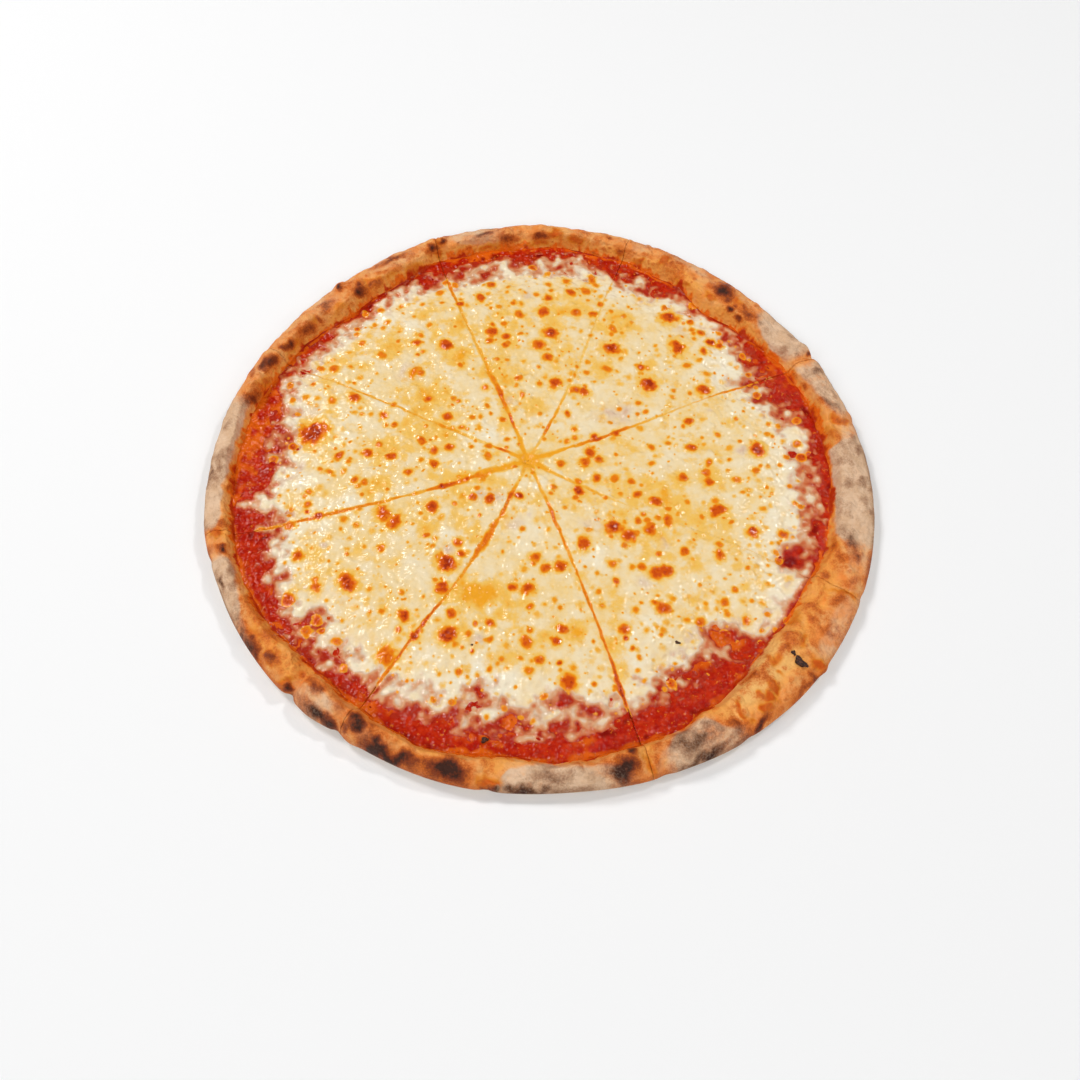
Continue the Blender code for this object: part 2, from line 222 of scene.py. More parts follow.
# Places where tomato shows in the cheese: x, y, width, height of an oval
SAUCE_WINDOWS = (
    (80, -87, 11, 10), (88, -93, 11, 9), (75, -112, 13, 11), (67, -119, 10, 9), (-24, -114, 2.6, 2.2),
    (-21, -118.5, 4.4, 2.4), (-112, 81, 8, 8), (-124, 70, 9, 9), (-62, 119, 10, 7), (-40, -127, 16, 11),
    (-12, -127, 9, 7), (24, -122, 8, 5), (105, 54, 8, 6), (117, 46, 12, 9), (-133, 32, 10, 14),
    (-137, -6, 16, 14), (-134, -29, 18, 8), (-99, -80, 5, 4), (9.5, -117, 3.5, 2.2), (118, -46, 11, 9),
)

# Cheese out in the sauce: x, y, width, height of an oval
CHEESE_ISLANDS = (
    (107, 61, 12, 9), (102, 77, 9, 7), (-139, -21, 18, 6), (-125, -23, 12, 6), (26, -126, 8, 6),
    (15, -132, 9, 4), (-3, -133, 14, 3.5), (112, 50, 6, 5), (-130, 6, 10, 8), (-133, 14, 7, 6),
    (4, 133, 7, 4), (-20, -128, 5, 6), (38, 131, 7, 4),
)

# Browned blisters of the cheese: x, y, size, and how dark from 0 to 1
CHEESE_BLISTERS = (
    (-50, 75, 7, .8), (-26, 84.5, 6, .8), (-26, 89, 3, .6), (-18.5, 81.5, 5, .7), (-19, 75.5, 4, .6),
    (-27, 78, 4, .6), (-20, 90, 3.5, .5), (4, 84, 7, .85), (-1.5, 75.5, 6.5, .65), (3, 68, 5, .6),
    (35.5, 74, 7.5, .9), (37, 87, 5, .4), (27, 97, 4.5, .6), (17.5, 98, 5, .65), (0, 98.5, 6, .7),
    (-12, 96, 5, .6), (-16, 104, 2.5, .5), (-33, 108, 5, .7), (-44, 103, 4, .75), (-28, 118, 4.5, .6),
    (3.5, 108, 5, .6), (15, 111.5, 4.5, .7), (23, 113.5, 5, .5), (26.5, 122.5, 5, .55), (13, 121, 4, .5),
    (28.5, 118, 4, .35), (2.5, 118, 3.5, .35), (-6, 131, 4, .7), (33.5, 61, 5, .45), (51, 62.5, 4, .65),
    (18, 62, 2.5, .4), (-42, 62, 3, .5), (-23, 66.5, 3, .4), (30.5, 104, 3, .5), (43, 96, 3.5, .3),
    (-55, 112, 4, .4), (-53, 119, 3, .5), (-65, 76, 5, .6), (-64, 68.5, 3, .5), (-82.5, 68, 5, .4),
    (-75, 77.5, 2.5, .4), (-63, 81, 3, .4), (-106, 59.5, 5, .55), (-113, 60, 4, .5), (-93.5, 76, 3.5, .45),
    (-81.5, 90.5, 3, .4), (-86, 99, 4, .45), (-94, 97, 4, .5), (-75, 102, 3, .4), (-65, 58, 6, .4),
    (-62, 57, 4, .45), (-64, 103, 2.5, .4), (-97, 86, 3, .7), (67, 96, 8, .85), (70, 75, 8, .8),
    (83, 86, 4, .6), (88, 80, 5, .9), (92, 78.5, 4, .8), (83.5, 73.5, 4, .7), (74.5, 64, 4, .4),
    (84, 59, 4, .3), (78, 93.5, 3.5, .6), (106, 60, 3, .6), (104, 72, 3, .6), (65, 103, 3, .6),
    (80, 106, 5, .4), (-112, 20, 12.5, 1.0), (-94, 41, 5.5, .75), (-105, 39, 4.5, .4), (-78, 30.5, 4.2, .6),
    (-72.5, 24.5, 3.5, .5), (-76.5, 24.5, 2.5, .4), (-98, 6.5, 4.5, .65), (-84, 7.5, 5.5, .7),
    (-72.5, 6, 4.8, .7), (-79, 13, 3.5, .5), (-101.5, -3, 3.5, .5), (-89, -7.5, 4, .6), (-84, -9, 3.6, .5),
    (-106.5, -1.5, 2.5, .4), (-73, -12.5, 2, .4), (-63.5, -2.5, 4, .6), (-58.5, 16, 5, .6),
    (-111, -48, 5.5, .8), (-73, -44, 4, .5), (-92, -29, 4, .3), (-74, -26, 7.5, .7), (-68, -30, 7, .7),
    (-117.5, -32, 5, .5), (-110, -14.5, 3, .45), (-110, -21, 3.5, .55), (-110, -24.5, 2.5, .9),
    (-104, -27, 4, .9), (-121.5, 12.5, 4.5, .8), (-130, 5, 4, .6), (-74, 36.5, 3.5, .4),
    (-127.5, 49.5, 3.5, .5), (-116, 50, 2.5, .5), (-125, 40, 3.5, .4), (-57, 41, 5, .7), (7, 52, 6.5, .75),
    (17, 47.5, 5.5, .7), (21, 46.5, 5, .7), (54, 51.5, 8, 1.0), (-12, 54.5, 4, .5), (-9.5, 44, 3.5, .45),
    (-41.5, 39.5, 3, .5), (-28.5, 48, 4, .5), (-27, 37, 3, .4), (-25, 32, 1.8, .5), (-46.5, 30, 5, .65),
    (-19, 28.5, 3.5, .5), (-16.5, 17, 3, .4), (-17, 12, 2.5, .4), (-25.5, 8, 4.4, .45), (-45, 12, 4.8, .65),
    (-52, 10, 4.5, .6), (-51.5, 2.5, 4.8, .65), (10, 3, 4, .55), (24, 10, 5, .7), (28.5, 6, 4.5, .6),
    (21.5, 4, 5.2, .6), (13, 33, 3.5, .6), (16.5, 18, 3.5, .4), (26, 19.5, 3.6, .8), (37, 21.3, 3.2, .7),
    (48.5, 39.5, 3, .45), (39, 36, 3, .4), (48, 33, 2, .4), (54, 13.5, 3.5, .5), (53.5, 4, 3, .4),
    (27, -5, 4.5, .65), (36, -4.5, 4, .5), (43.5, -6.5, 3.6, .5), (18.5, -12, 5.2, .85), (16.5, -16, 3, .5),
    (6.5, -10, 3.5, .4), (5, -13.5, 2.5, .4), (38.5, -13.5, 3, .3), (46.5, -13.5, 4.2, .75),
    (31, -15.5, 2, .4), (55, -17, 6, .75), (35, -31.5, 7.8, .9), (42, -36, 7, .75), (46, -28, 3.5, .5),
    (51.5, -32.5, 6.5, .7), (20.5, -40.5, 6, .7), (10, -52, 6, .75), (3, -53.5, 4.5, .6),
    (-2, -48, 4.8, .6), (47, -52, 4, .6), (33.5, -51, 4.5, .45), (-10.5, -15, 4.2, .85), (-24, -17, 5, .8),
    (-32, -16, 4, .6), (-30, -11, 3, .4), (-28.5, -26, 2, .6), (-51.5, -22, 6.2, .8), (-53, -37, 3, .6),
    (-37.5, -40.5, 4.8, .6), (-36, -46.5, 4, .7), (-42.5, -51, 8.4, .95), (-17, -45, 2, .4),
    (55, -45, 3, .5), (54, -55, 6, .7), (-47, -10, 2.6, .95), (-35, -6, 2.8, .7), (82, 48.5, 6, .75),
    (75, 46.5, 2.5, .4), (66.5, 47.5, 2.2, .4), (73, 29, 4.4, .65), (97, 31.5, 2.5, .4), (87, 21.5, 3, .4),
    (73.5, 13.5, 4.4, .7), (62.5, 16, 3, .35), (81.5, 4.5, 4, .5), (80, -1, 4.8, .55), (81, -6, 5, .65),
    (68.5, -3.5, 4.6, .65), (94, -4.5, 4, .4), (104, 1, 3.5, .45), (106, 13, 7.2, .9), (120, 10, 3, .4),
    (120, -6.5, 3, .4), (126, 17.5, 3.5, .5), (127.5, 10, 4.6, .8), (131.5, 12, 3, .85),
    (127.5, 32, 4.4, .6), (109, 47.5, 4, .6), (113, 29, 2.5, .3), (108.5, -8.5, 2, .4), (70, -17.5, 3, .35),
    (84, -22, 7, .75), (99, -33, 5.2, .85), (114, -33.5, 4.6, .7), (60, -27.5, 5.5, .6),
    (83, -39.5, 3.5, .5), (67, -44, 4, .6), (83, -45.5, 4.6, .65), (95.5, -52, 2.5, .4), (58, -54, 6, .75),
    (111, -47, 4, .6), (124, -18, 3, .5), (90, -28, 2.5, .4), (-87, -62, 8.2, .85), (-101, -64, 5, .6),
    (-113, -70, 5.6, .8), (-99, -80, 5, .8), (-96.5, -85, 3, .8), (-103, -85.5, 5, .6), (-66, -97, 8, .6),
    (-60, -78, 5, .85), (-62, -85, 3, .5), (-89, -90, 4, .5), (-70, -76, 3, .4), (-85, -102.5, 4, .4),
    (-55, -88, 4, .95), (-43.5, -64, 6.2, .8), (-12, -63, 4.2, .75), (-5, -64, 5.6, .75),
    (-4, -73, 3.4, .6), (-39, -77, 4.5, .65), (-40, -87, 7.8, .9), (-21.5, -81, 4, .6),
    (-28, -81.5, 2.5, .5), (-21.5, -89, 2.8, .5), (-29, -94.5, 2, .8), (-31, -86.5, 4, .5),
    (-5, -90, 5.2, .65), (10.5, -83.5, 4.6, .7), (7.5, -89, 4.6, .8), (0, -98, 4.6, .6),
    (9.5, -99.5, 2.2, .8), (-16, -98, 3.5, .4), (-34, -104, 3, .55), (-4, -103, 4, .35),
    (13.5, -108, 7, .8), (24.5, -108.5, 2, .5), (3, -114, 3.6, .5), (38, -83.5, 5, .65),
    (38.5, -87.5, 2.4, .8), (41.5, -92, 2.2, .6), (55, -73, 5.2, .7), (52, -70, 3, .6),
    (35, -59.5, 3.2, .6), (43.5, -102, 2, .4), (27, -65, 3, .35), (-45, -116, 3.5, .4), (83.5, -69, 4, .6),
    (89, -63, 3, .5), (93, -77.5, 4, .6), (72.5, -78.5, 4, .6), (57, -73, 5, .7), (58, -107.5, 4, .6),
    (112, -77, 4, .5), (117, -75.5, 3, .5), (104.5, -92, 4, .4), (107, -99, 2.5, .4), (118.5, -86, 2.5, .4),
    (99.5, -82, 3, .4), (98.5, -87.5, 2, .4), (106, -82, 3, .4), (105.5, -105, 3, .4), (83, -84, 5, .7),
)

# Thin cheese with pink showing through: x, y, width, height, strength
THIN_PATCHES = (
    (37, 33, 24, 16, .75), (37, 30, 6, 7, .6), (-68, 57, 18, 15, .6), (-8, 110, 12, 9, .6),
    (98, 13, 7, 9, .8), (-12, -29, 15, 15, .55), (-25, -15, 20, 11, .7), (24, -30, 20, 11, .55),
    (-43, -44, 11, 9, .65), (48, -60, 11, 9, .5), (-17, 63, 4, 4, .5), (-38.5, 3.5, 5, 4, .5),
    (-43, 1.5, 4, 3, .5), (15, 31, 6, 5, .6), (14.5, 26.5, 3, 3, .5), (75, 46, 8, 6, .4),
    (84, 36, 5, 4, .5), (-5, -25.5, 4, 4, .6), (-15, 40, 13, 9, .45), (-3, 31, 14, 10, .3),
    (-116, 34, 14, 12, .6), (-118, 0, 12, 14, .65), (-105, -36, 11, 5, .5), (-100, -43, 6, 4, .6),
    (-27, -89, 9, 11, .6), (-12, -94, 6, 4, .4), (58, -40, 7, 9, .5), (45, -106, 9, 8, .5),
    (61, 2, 8, 7, .35), (92, 38, 6, 4, .4), (-90, -88, 22, 12, .45), (-66, -45, 7, 6, .35),
    (90, 88, 22, 16, .45), (72, 88, 12, 16, .45), (100, -84, 22, 24, .35), (30, 128, 14, 7, .5),
    (-104, 45, 12, 8, .35),
)

# Orange oil on the cheese: x, y, width, height, strength
OIL_PATCHES = (
    (-29, -67, 18, 15, .85), (-6, 5, 14, 11, .9), (-18, 36, 8, 30, .6), (-35, -5, 26, 7, .7),
    (-43, 88, 18, 14, .6), (-70, 14, 20, 18, .5), (-3, 74, 9, 9, .5), (-60, 40, 22, 20, .35),
    (-48, 22, 26, 18, .45), (20, -12, 9, 8, .7), (62, -12, 26, 16, .35), (82, -2, 14, 15, .4),
    (54, -30, 14, 14, .45), (-78, -10, 16, 7, .5), (12, 100, 34, 16, .3), (-52, -33, 9, 16, .5),
    (-30, -34, 8, 12, .4), (-66, -70, 16, 20, .35), (64, 52, 18, 12, .3), (18, -84, 8, 16, .4),
    (-25, 62, 12, 20, .35), (-60, 88, 30, 20, .3), (33, 60, 14, 10, .4), (-95, 60, 22, 14, .2),
    (76, -64, 22, 16, .3), (40, 92, 14, 22, .25), (-42, 66, 12, 14, .35), (-20, -78, 18, 10, .35),
    (86, -22, 14, 16, .4),
)

# Plain milky cheese: x, y, width, height, strength
MILK_PATCHES = (
    (-24, 20, 15, 14, .9), (-43, -37, 12, 9, .7), (5, 28, 22, 16, .5), (-2, -8, 8, 10, .6),
    (-5, -33, 16, 20, .6), (-20, -108, 30, 14, .7), (-50, -97, 16, 12, .6), (108, -28, 26, 18, .7),
    (26, -48, 12, 10, .7), (45, -82, 22, 16, .5), (-76, 88, 40, 14, .6), (-90, 25, 20, 24, .5),
    (-88, -20, 22, 8, .5), (110, 10, 16, 26, .4), (-60, -55, 14, 12, .4), (92, 62, 30, 20, .6),
    (60, 30, 20, 12, .4), (8, 128, 44, 8, .6), (-124, 20, 8, 26, .5), (30, -98, 24, 14, .5),
)

# Browned and charred places of the rim: bearing, radius, length along the rim, width, strength
RIM_BROWN = (
    (9, 146, 9, 8, .40), (12, 153, 7, 5, .45), (21.5, 143, 6, 4, .65), (24.5, 142, 5, 4, .6),
    (27.5, 155, 5, 9, .7), (42, 147, 20, 9, .60), (46, 144, 8, 6, .8), (42.3, 140, 8, 7, .8),
    (49.5, 150, 14, 14, .85), (54, 153, 14, 8, .3), (61, 155, 8, 5, .5), (68, 150, 16, 7, .42),
    (73.5, 148, 7, 5, .7), (77, 156, 8, 4, .5), (83, 153, 10, 5, .45), (91, 153, 12, 8, .8),
    (97.7, 151.5, 10, 10, .8), (102, 157, 14, 5, .7), (111, 158, 7, 5, .85), (113.7, 154, 9, 8, .75),
    (119.5, 143.5, 8, 7, .8), (122, 157, 28, 5, .65), (124, 150, 14, 6, .35), (128, 146, 8, 10, .65),
    (131.5, 149, 9, 14, .9), (133.5, 158, 7, 5, .9), (138.7, 152, 11, 10, .55), (142, 148, 4, 9, .6),
    (145.5, 149, 10, 11, .85), (150.5, 151, 8, 8, .85), (155.5, 153, 11, 9, .9), (159, 157, 10, 4, .5),
    (164, 151, 14, 11, .95), (173.5, 146, 5, 4, .5), (184, 148, 5, 5, .7), (182, 159, 12, 3, .6),
    (197.3, 153, 9, 8, .85), (204, 157, 16, 4, .55), (216, 156.5, 34, 6, .7), (220, 152, 7, 6, .6),
    (226, 156, 7, 6, .75), (229.5, 146, 10, 9, .6), (234, 155, 26, 8, .9), (238.7, 148, 11, 9, .9),
    (246, 154, 32, 10, 1.0), (256, 152.5, 24, 11, 1.0), (250, 149, 10, 5, .4), (263, 157, 8, 6, .8),
    (268, 156, 22, 6, .8), (272, 150, 22, 9, .48), (284, 150, 16, 14, .95), (286, 143, 6, 5, .85),
    (297, 149, 33, 15, .58), (297, 157, 36, 5, .75), (307, 157.5, 14, 7, .95), (318, 159, 28, 4, .6),
    (330, 159, 22, 4, .4), (341, 145, 20, 9, .40), (344, 142, 6, 6, .5), (353, 142, 24, 8, .34),
    (1, 150, 20, 10, .2), (34, 152, 20, 8, .16), (322, 149, 6, 5, .4),
)

# Reddish amber places of the rim, where oil browned: bearing, radius, length, width, strength
RIM_AMBER = (
    (309.5, 154, 6, 6, 1.0), (311, 151, 5, 5, 1.0), (312.8, 148.5, 5, 5, .9), (306, 149, 3, 10, .8),
    (321.5, 156, 6, 12, .9), (64, 152, 5, 9, .9), (12, 153, 4, 8, .8), (69, 146, 7, 5, .9),
    (73.5, 147, 7, 5, .7), (83, 151, 9, 6, .9), (88, 155, 14, 7, .7), (220, 152, 8, 6, .8),
    (225, 156, 7, 9, .8), (251, 152, 10, 6, .6), (263, 155, 9, 11, .9), (335, 152, 3, 14, .7),
    (344, 143, 6, 6, .8), (194, 155, 5, 8, .8), (288, 152, 4, 14, .7), (317, 141, 8, 6, .7),
    (326, 139, 8, 5, .6), (316, 147, 5, 4, .6), (323.5, 146, 5, 4, .6), (113, 150, 6, 10, .8),
    (112, 158, 6, 5, .7), (119, 147, 9, 8, .6), (128, 149, 8, 8, .6), (124, 147, 12, 5, .5),
    (58, 142, 8, 4, .7), (51, 141, 8, 5, .8), (102, 147, 16, 5, .6), (215, 153, 14, 6, .6),
    (160, 149, 9, 5, .6), (150, 148, 12, 5, .6), (9, 147, 12, 8, .5), (46, 148, 12, 6, .6),
    (91, 148, 12, 7, .7), (143, 151, 10, 6, .5), (137, 146, 8, 6, .5),
)

# Burnt places of the rim: bearing, radius, length, width, strength
RIM_CHAR = (
    (49.5, 151, 10, 10, 1.0), (46.3, 144, 4, 4, .6), (42.5, 141, 2.6, 2.6, .5), (91.5, 155, 7, 4.5, .9),
    (98, 152, 5, 5, .6), (103, 158, 6, 3, .5), (111, 159, 4.5, 3.5, .9), (113.7, 156, 7, 3.5, .7),
    (131.5, 150, 5, 10, 1.0), (133.5, 159, 5, 3.5, .9), (145.5, 151, 6, 5, .7), (150.5, 152, 4, 3.5, .7),
    (155.5, 155, 7, 5, .9), (164, 152, 9, 7, .95), (197.3, 153, 6, 5.5, .8), (226, 158, 4.5, 3.5, .8),
    (238.5, 149, 7, 5, .8), (243, 155, 16, 6, .6), (257, 154, 19, 7, .85), (263.5, 157, 5, 4, .6),
    (284, 149, 9, 8, .8), (286, 143.5, 3.5, 3, .8), (307, 158, 8, 4, .8), (310, 156, 4, 5, .5),
    (203, 159, 3, 3, .6), (182.5, 159, 4, 3, .6),
)

# Flour left on the rim: bearing and strength from 0 to 100
RIM_FLOUR = (
    (0, 95), (6, 90), (9, 40), (12, 30), (15, 65), (22, 65), (25, 60), (27, 10), (29, 60), (31, 95),
    (36, 90), (39, 60), (42, 25), (46, 10), (52, 20), (56, 35), (62, 35), (66, 20), (70, 35), (74, 20),
    (80, 20), (90, 10), (97, 20), (103, 50), (108, 40), (112, 10), (117, 30), (124, 30), (132, 5),
    (138, 35), (145, 20), (152, 20), (158, 30), (163, 10), (167, 70), (172, 90), (191, 90), (194, 20),
    (198, 30), (200, 80), (206, 80), (213, 50), (220, 20), (226, 5), (228, 35), (232, 50), (237, 25),
    (243, 28), (250, 20), (258, 15), (262, 5), (265, 70), (278, 80), (282, 50), (287, 20), (290, 30),
    (293, 75), (302, 55), (306, 20), (312, 15), (320, 5), (324, 35), (334, 35), (338, 25), (344, 35),
    (347, 80), (352, 100),
)

# Outer limit of the orange oil on the inner side of the rim: bearing and radius in millimetres
RIM_ORANGE = (
    (0, 141), (5, 141), (8, 149), (12, 152), (16, 148), (20, 146), (25, 143), (30, 141), (35, 141),
    (38, 144), (42, 150), (46, 148), (50, 144), (55, 150), (60, 152), (65, 155), (70, 150), (75, 152),
    (80, 154), (85, 156), (90, 158), (95, 151), (105, 150), (110, 155), (115, 153), (120, 149), (125, 152),
    (130, 153), (135, 150), (140, 148), (145, 150), (150, 153), (160, 152), (164, 150), (168, 149),
    (180, 149), (185, 151), (190, 152), (195, 155), (200, 150), (205, 150), (210, 153), (215, 155),
    (220, 156), (225, 158), (228, 147), (233, 145), (238, 146), (243, 147), (248, 151), (252, 153),
    (256, 150), (260, 148), (263, 156), (266, 145), (270, 144), (275, 145), (280, 146), (285, 148),
    (288, 152), (291, 146), (295, 142), (300, 142), (303, 150), (308, 156), (315, 155), (320, 158),
    (325, 151), (330, 150), (335, 152), (340, 150), (344, 146), (348, 141), (355, 140),
)

# Places of the sauce where oil gathered, and deep red ones: x, y, width, height, strength
SAUCE_OILY = (
    (-138, 20, 22, 34, .6), (-140, -4, 14, 22, .5), (-40, 136, 50, 8, .4), (-36, -127, 20, 12, .5),
    (-10, -126, 14, 10, .5), (82, -86, 12, 9, .2), (-120, -98, 20, 16, .3), (-22, 128, 40, 6, .6),
)
SAUCE_DEEP = (
    (136, 4, 10, 60, .6), (124, 46, 20, 24, .4), (52, -124, 50, 16, .6), (-134, -31, 24, 14, .7),
    (78, -110, 20, 14, .6), (-44, -134, 26, 12, .4), (-60, 128, 20, 10, .5), (100, 94, 30, 12, .5),
)

# Small bubbles of the rim: bearing, radius, size, height in millimetres
RIM_BUBBLES = (
    (42.3, 141, 7, 1.0), (45.5, 142, 7, .9), (47.5, 145, 6, .8), (50.5, 141, 6, .8), (49.5, 151, 11, 1.2),
    (57.5, 142, 6, .6), (64, 152, 6, .9), (69, 145, 6, 1.0), (73.5, 147, 6, 1.0), (79, 154, 6, .7),
    (83, 151, 8, 1.0), (91, 153, 8, 1.2), (97.7, 152, 9, 1.3), (106, 149, 6, .6), (111, 158, 6, 1.4),
    (113.8, 154, 8, 1.2), (119.5, 143, 7, 1.0), (122.5, 150, 6, .7), (125.5, 148, 5, .7),
    (128, 145, 7, 1.2), (131.7, 149, 8, 1.6), (133.5, 158, 6, 1.2), (134.8, 144, 5, .9),
    (138.5, 153, 8, .9), (142, 147, 6, .9), (145.6, 149, 8, 1.3), (150.6, 151, 7, 1.1),
    (155.5, 153, 8, 1.1), (160, 149, 6, .6), (164, 151, 9, 1.2), (173.5, 146, 6, .8), (184, 148, 5, .6),
    (194, 156, 5, .9), (197.3, 153, 6, .8), (203, 158, 4, .6), (220, 153, 6, .8), (223, 149, 5, .7),
    (226, 157, 7, 1.2), (229.5, 147, 8, .6), (238.5, 148, 9, 1.2), (251, 152, 6, .8), (263, 157, 7, 1.3),
    (284, 149, 11, 1.0), (286, 143, 6, 1.2), (288, 157, 5, .8), (306, 149, 5, .8), (309.8, 154, 6, .9),
    (312.5, 149, 6, .9), (317, 147, 4, .5), (340.5, 144, 8, .6), (344.8, 142, 5, .8), (21.5, 143, 5, .7),
    (24.5, 142, 5, .6), (12, 152, 5, .8), (9, 146, 9, .5),
)

# Burnt crumbs: x, y, length, width, bearing
CRUMBS = (
    (113.4, -99.2, 7.0, 3.4, -50), (61.5, -89, 2.6, 1.3, -20), (110.6, -95.6, 2.6, 1.8, -60),
    (-22, -134, 3.2, 2.4, 30), (-29, -92, 1.2, 0.9, 0),
)
CRUMB_RINGS = 12
CRUMB_SIDES = 20

# Colours of the cheese: plain, with oil, thin over the sauce, and browned
CREAM = (0.88, 0.62, 0.26)
PALE_CREAM = (0.88, 0.69, 0.40)
MILKY = (0.90, 0.81, 0.62)
GOLDEN_OIL = (0.89, 0.53, 0.11)
ORANGE_OIL = (0.88, 0.37, 0.016)
VEIL_CREAM = (0.75, 0.56, 0.40)
VEIL_PINK = (0.70, 0.36, 0.18)
VEIL_RED = (0.60, 0.15, 0.05)
VEIL_GONE = (0.42, 0.020, 0.004)
BLISTER_GOLD = (0.88, 0.36, 0.012)
BLISTER_ORANGE = (0.82, 0.20, 0.003)
BLISTER_RUST = (0.64, 0.078, 0.001)
BLISTER_BROWN = (0.36, 0.024, 0.001)

# Colours of the sauce
SAUCE_RED = (0.40, 0.008, 0.001)
PULP_RED = (0.54, 0.026, 0.002)
OILY_SAUCE = (0.72, 0.115, 0.004)
DARK_SAUCE = (0.22, 0.004, 0.001)
SEED_GOLD = (0.78, 0.22, 0.02)

# Colours of the crust: dough, oiled, floured, smeared, amber, toasted, burnt, stained and its underside
DOUGH_TAN = (0.88, 0.41, 0.13)
DOUGH_BAKED = (0.84, 0.26, 0.050)
OILED_GOLD = (0.90, 0.37, 0.070)
OILED_ORANGE = (0.86, 0.16, 0.008)
FLOUR_PALE = (0.80, 0.54, 0.35)
FLOUR_TAN = (0.70, 0.44, 0.26)
FLOUR_LOOSE = (0.82, 0.62, 0.45)
SMEARED_CHEESE = (0.90, 0.52, 0.17)
AMBER_LIGHT = (0.78, 0.26, 0.02)
AMBER_DEEP = (0.64, 0.10, 0.004)
TOAST_LIGHT = (0.66, 0.15, 0.018)
TOAST_DEEP = (0.24, 0.042, 0.010)
DUSTY_TOAST_LIGHT = (0.46, 0.25, 0.14)
DUSTY_TOAST_DEEP = (0.15, 0.060, 0.028)
BURNT = (0.050, 0.016, 0.009)
STAIN_RED = (0.52, 0.035, 0.003)
BELOW_TAN = (0.66, 0.42, 0.22)
BELOW_BROWN = (0.24, 0.085, 0.03)
BELOW_FLOUR = (0.72, 0.58, 0.44)
CRUMB_BLACK = (0.03, 0.012, 0.008)
CRUMB_BROWN = (0.12, 0.04, 0.018)

# Lamps: name, place and side in metres, power in watts
LAMPS = (
    ("key", (-0.9, 0.7, 1.3), 0.36, 11.3),
    ("left", (-1.5, -0.6, 1.5), 0.8, 7.7),
    ("right", (1.4, -0.8, 1.5), 0.9, 5.5),
    ("front", (0.0, -1.4, 1.6), 1.0, 12.0),
    ("right_spark", (0.9, 0.6, 1.3), 0.15, 6.0),
)
WORLD_STRENGTH = 0.20
FLOOR_GREY = 0.93
FLOOR_HALF_SIDE = 6.0

# Camera: degrees above the floor and of roll, then the lens and sensor in millimetres
CAMERA_ELEVATION = 61.8
CAMERA_ROLL = 0.75
CAMERA_LENS = 33.33
CAMERA_SENSOR = 36.0


def ease(share):
    """Smooth step from 0 to 1."""
    held = np.clip(share, 0.0, 1.0)
    return held * held * (3.0 - 2.0 * held)


def around(bearing, knots):
    """Metres at a bearing on a closed curve that eases from one (bearing, millimetres) knot to the next."""
    marks = np.array([knot[0] for knot in knots] + [knots[0][0] + 360.0], dtype=float)
    values = np.array([knot[1] for knot in knots] + [knots[0][1]], dtype=float)
    at = np.mod(bearing - marks[0], 360.0) + marks[0]
    left = np.clip(np.searchsorted(marks, at, side="right") - 1, 0, len(knots) - 1)
    share = (at - marks[left]) / (marks[left + 1] - marks[left])
    return (values[left] + (values[left + 1] - values[left]) * ease(share)) * MM


def share_around(bearing, knots):
    """Share from 0 to 1 at a bearing, from (bearing, hundredths) knots."""
    return around(bearing, knots) / MM / 100.0


def apart(bearing, mark):
    """Degrees from mark to bearing, between -180 and 180."""
    return np.mod(bearing - mark + 180.0, 360.0) - 180.0


def noise(x, y, length, seed):
    """Smooth random waves from -1 to 1: random heights on a turned square lattice, eased between points."""
    table = np.random.default_rng(seed).uniform(-1.0, 1.0, (256, 256))
    turn = 0.7 + 2.4 * seed
    u = (x * math.cos(turn) + y * math.sin(turn)) / length + 0.37 * seed
    v = (y * math.cos(turn) - x * math.sin(turn)) / length + 0.61 * seed
    column = np.floor(u).astype(int)
    row = np.floor(v).astype(int)
    right = ease(u - column)
    up = ease(v - row)
    low_left = table[column % 256, row % 256]
    low_right = table[(column + 1) % 256, row % 256]
    high_left = table[column % 256, (row + 1) % 256]
    high_right = table[(column + 1) % 256, (row + 1) % 256]
    low = low_left + (low_right - low_left) * right
    high = high_left + (high_right - high_left) * right
    return low + (high - low) * up


def layered_noise(x, y, length, seed, layers=3):
    """Mean of noise layers from -1 to 1, each half as long and six tenths as strong as the one before."""
    total = np.zeros_like(x)
    weight = 0.0
    for layer in range(layers):
        strength = 0.6 ** layer
        total = total + strength * noise(x, y, length / 2.0 ** layer, seed + 17 * layer)
        weight = weight + strength
    return total / weight


def waves(x, y, rows):
    """Sum of the noises that rows of strength, length in millimetres and seed describe."""
    total = np.zeros_like(x)
    for strength, length, seed in rows:
        total = total + strength * noise(x, y, length * MM, seed)
    return total


def fold_height(bearing):
    """Height that the folds add to the rim at a bearing."""
    height = np.zeros_like(bearing)
    for mark, half_width, rise in RIM_FOLDS:
        along = np.radians(apart(bearing, mark)) * MEAN_RADIUS
        height = height + rise * MM * np.exp(-((along / (half_width * MM)) ** 2))
    return height


def blister_height(bearing, inward):
    """Height that the blisters add to the rim, from the bearing and the distance in from the outer edge."""
    height = np.zeros_like(bearing)
    for mark, depth, width, rise in RIM_BLISTERS:
        along = np.radians(apart(bearing, mark)) * MEAN_RADIUS
        spread = (along ** 2 + (inward - depth * MM) ** 2) / (width * MM / 2.0) ** 2
        height = height + rise * MM * np.clip(1.0 - spread, 0.0, 1.0) ** 1.5
    return height


def edge_radius(bearing):
    """Radius of the outer edge."""
    return around(bearing, OUTLINE) + FOLD_EDGE_SHARE * fold_height(bearing)


def outline_middle():
    """Middle of the box round the outline, which the origin is below."""
    bearing = np.arange(0.0, 360.0, 0.5)
    radius = edge_radius(bearing)
    x = radius * np.cos(np.radians(bearing))
    y = radius * np.sin(np.radians(bearing))
    return (x.min() + x.max()) / 2.0, (y.min() + y.max()) / 2.0


MIDDLE = outline_middle()


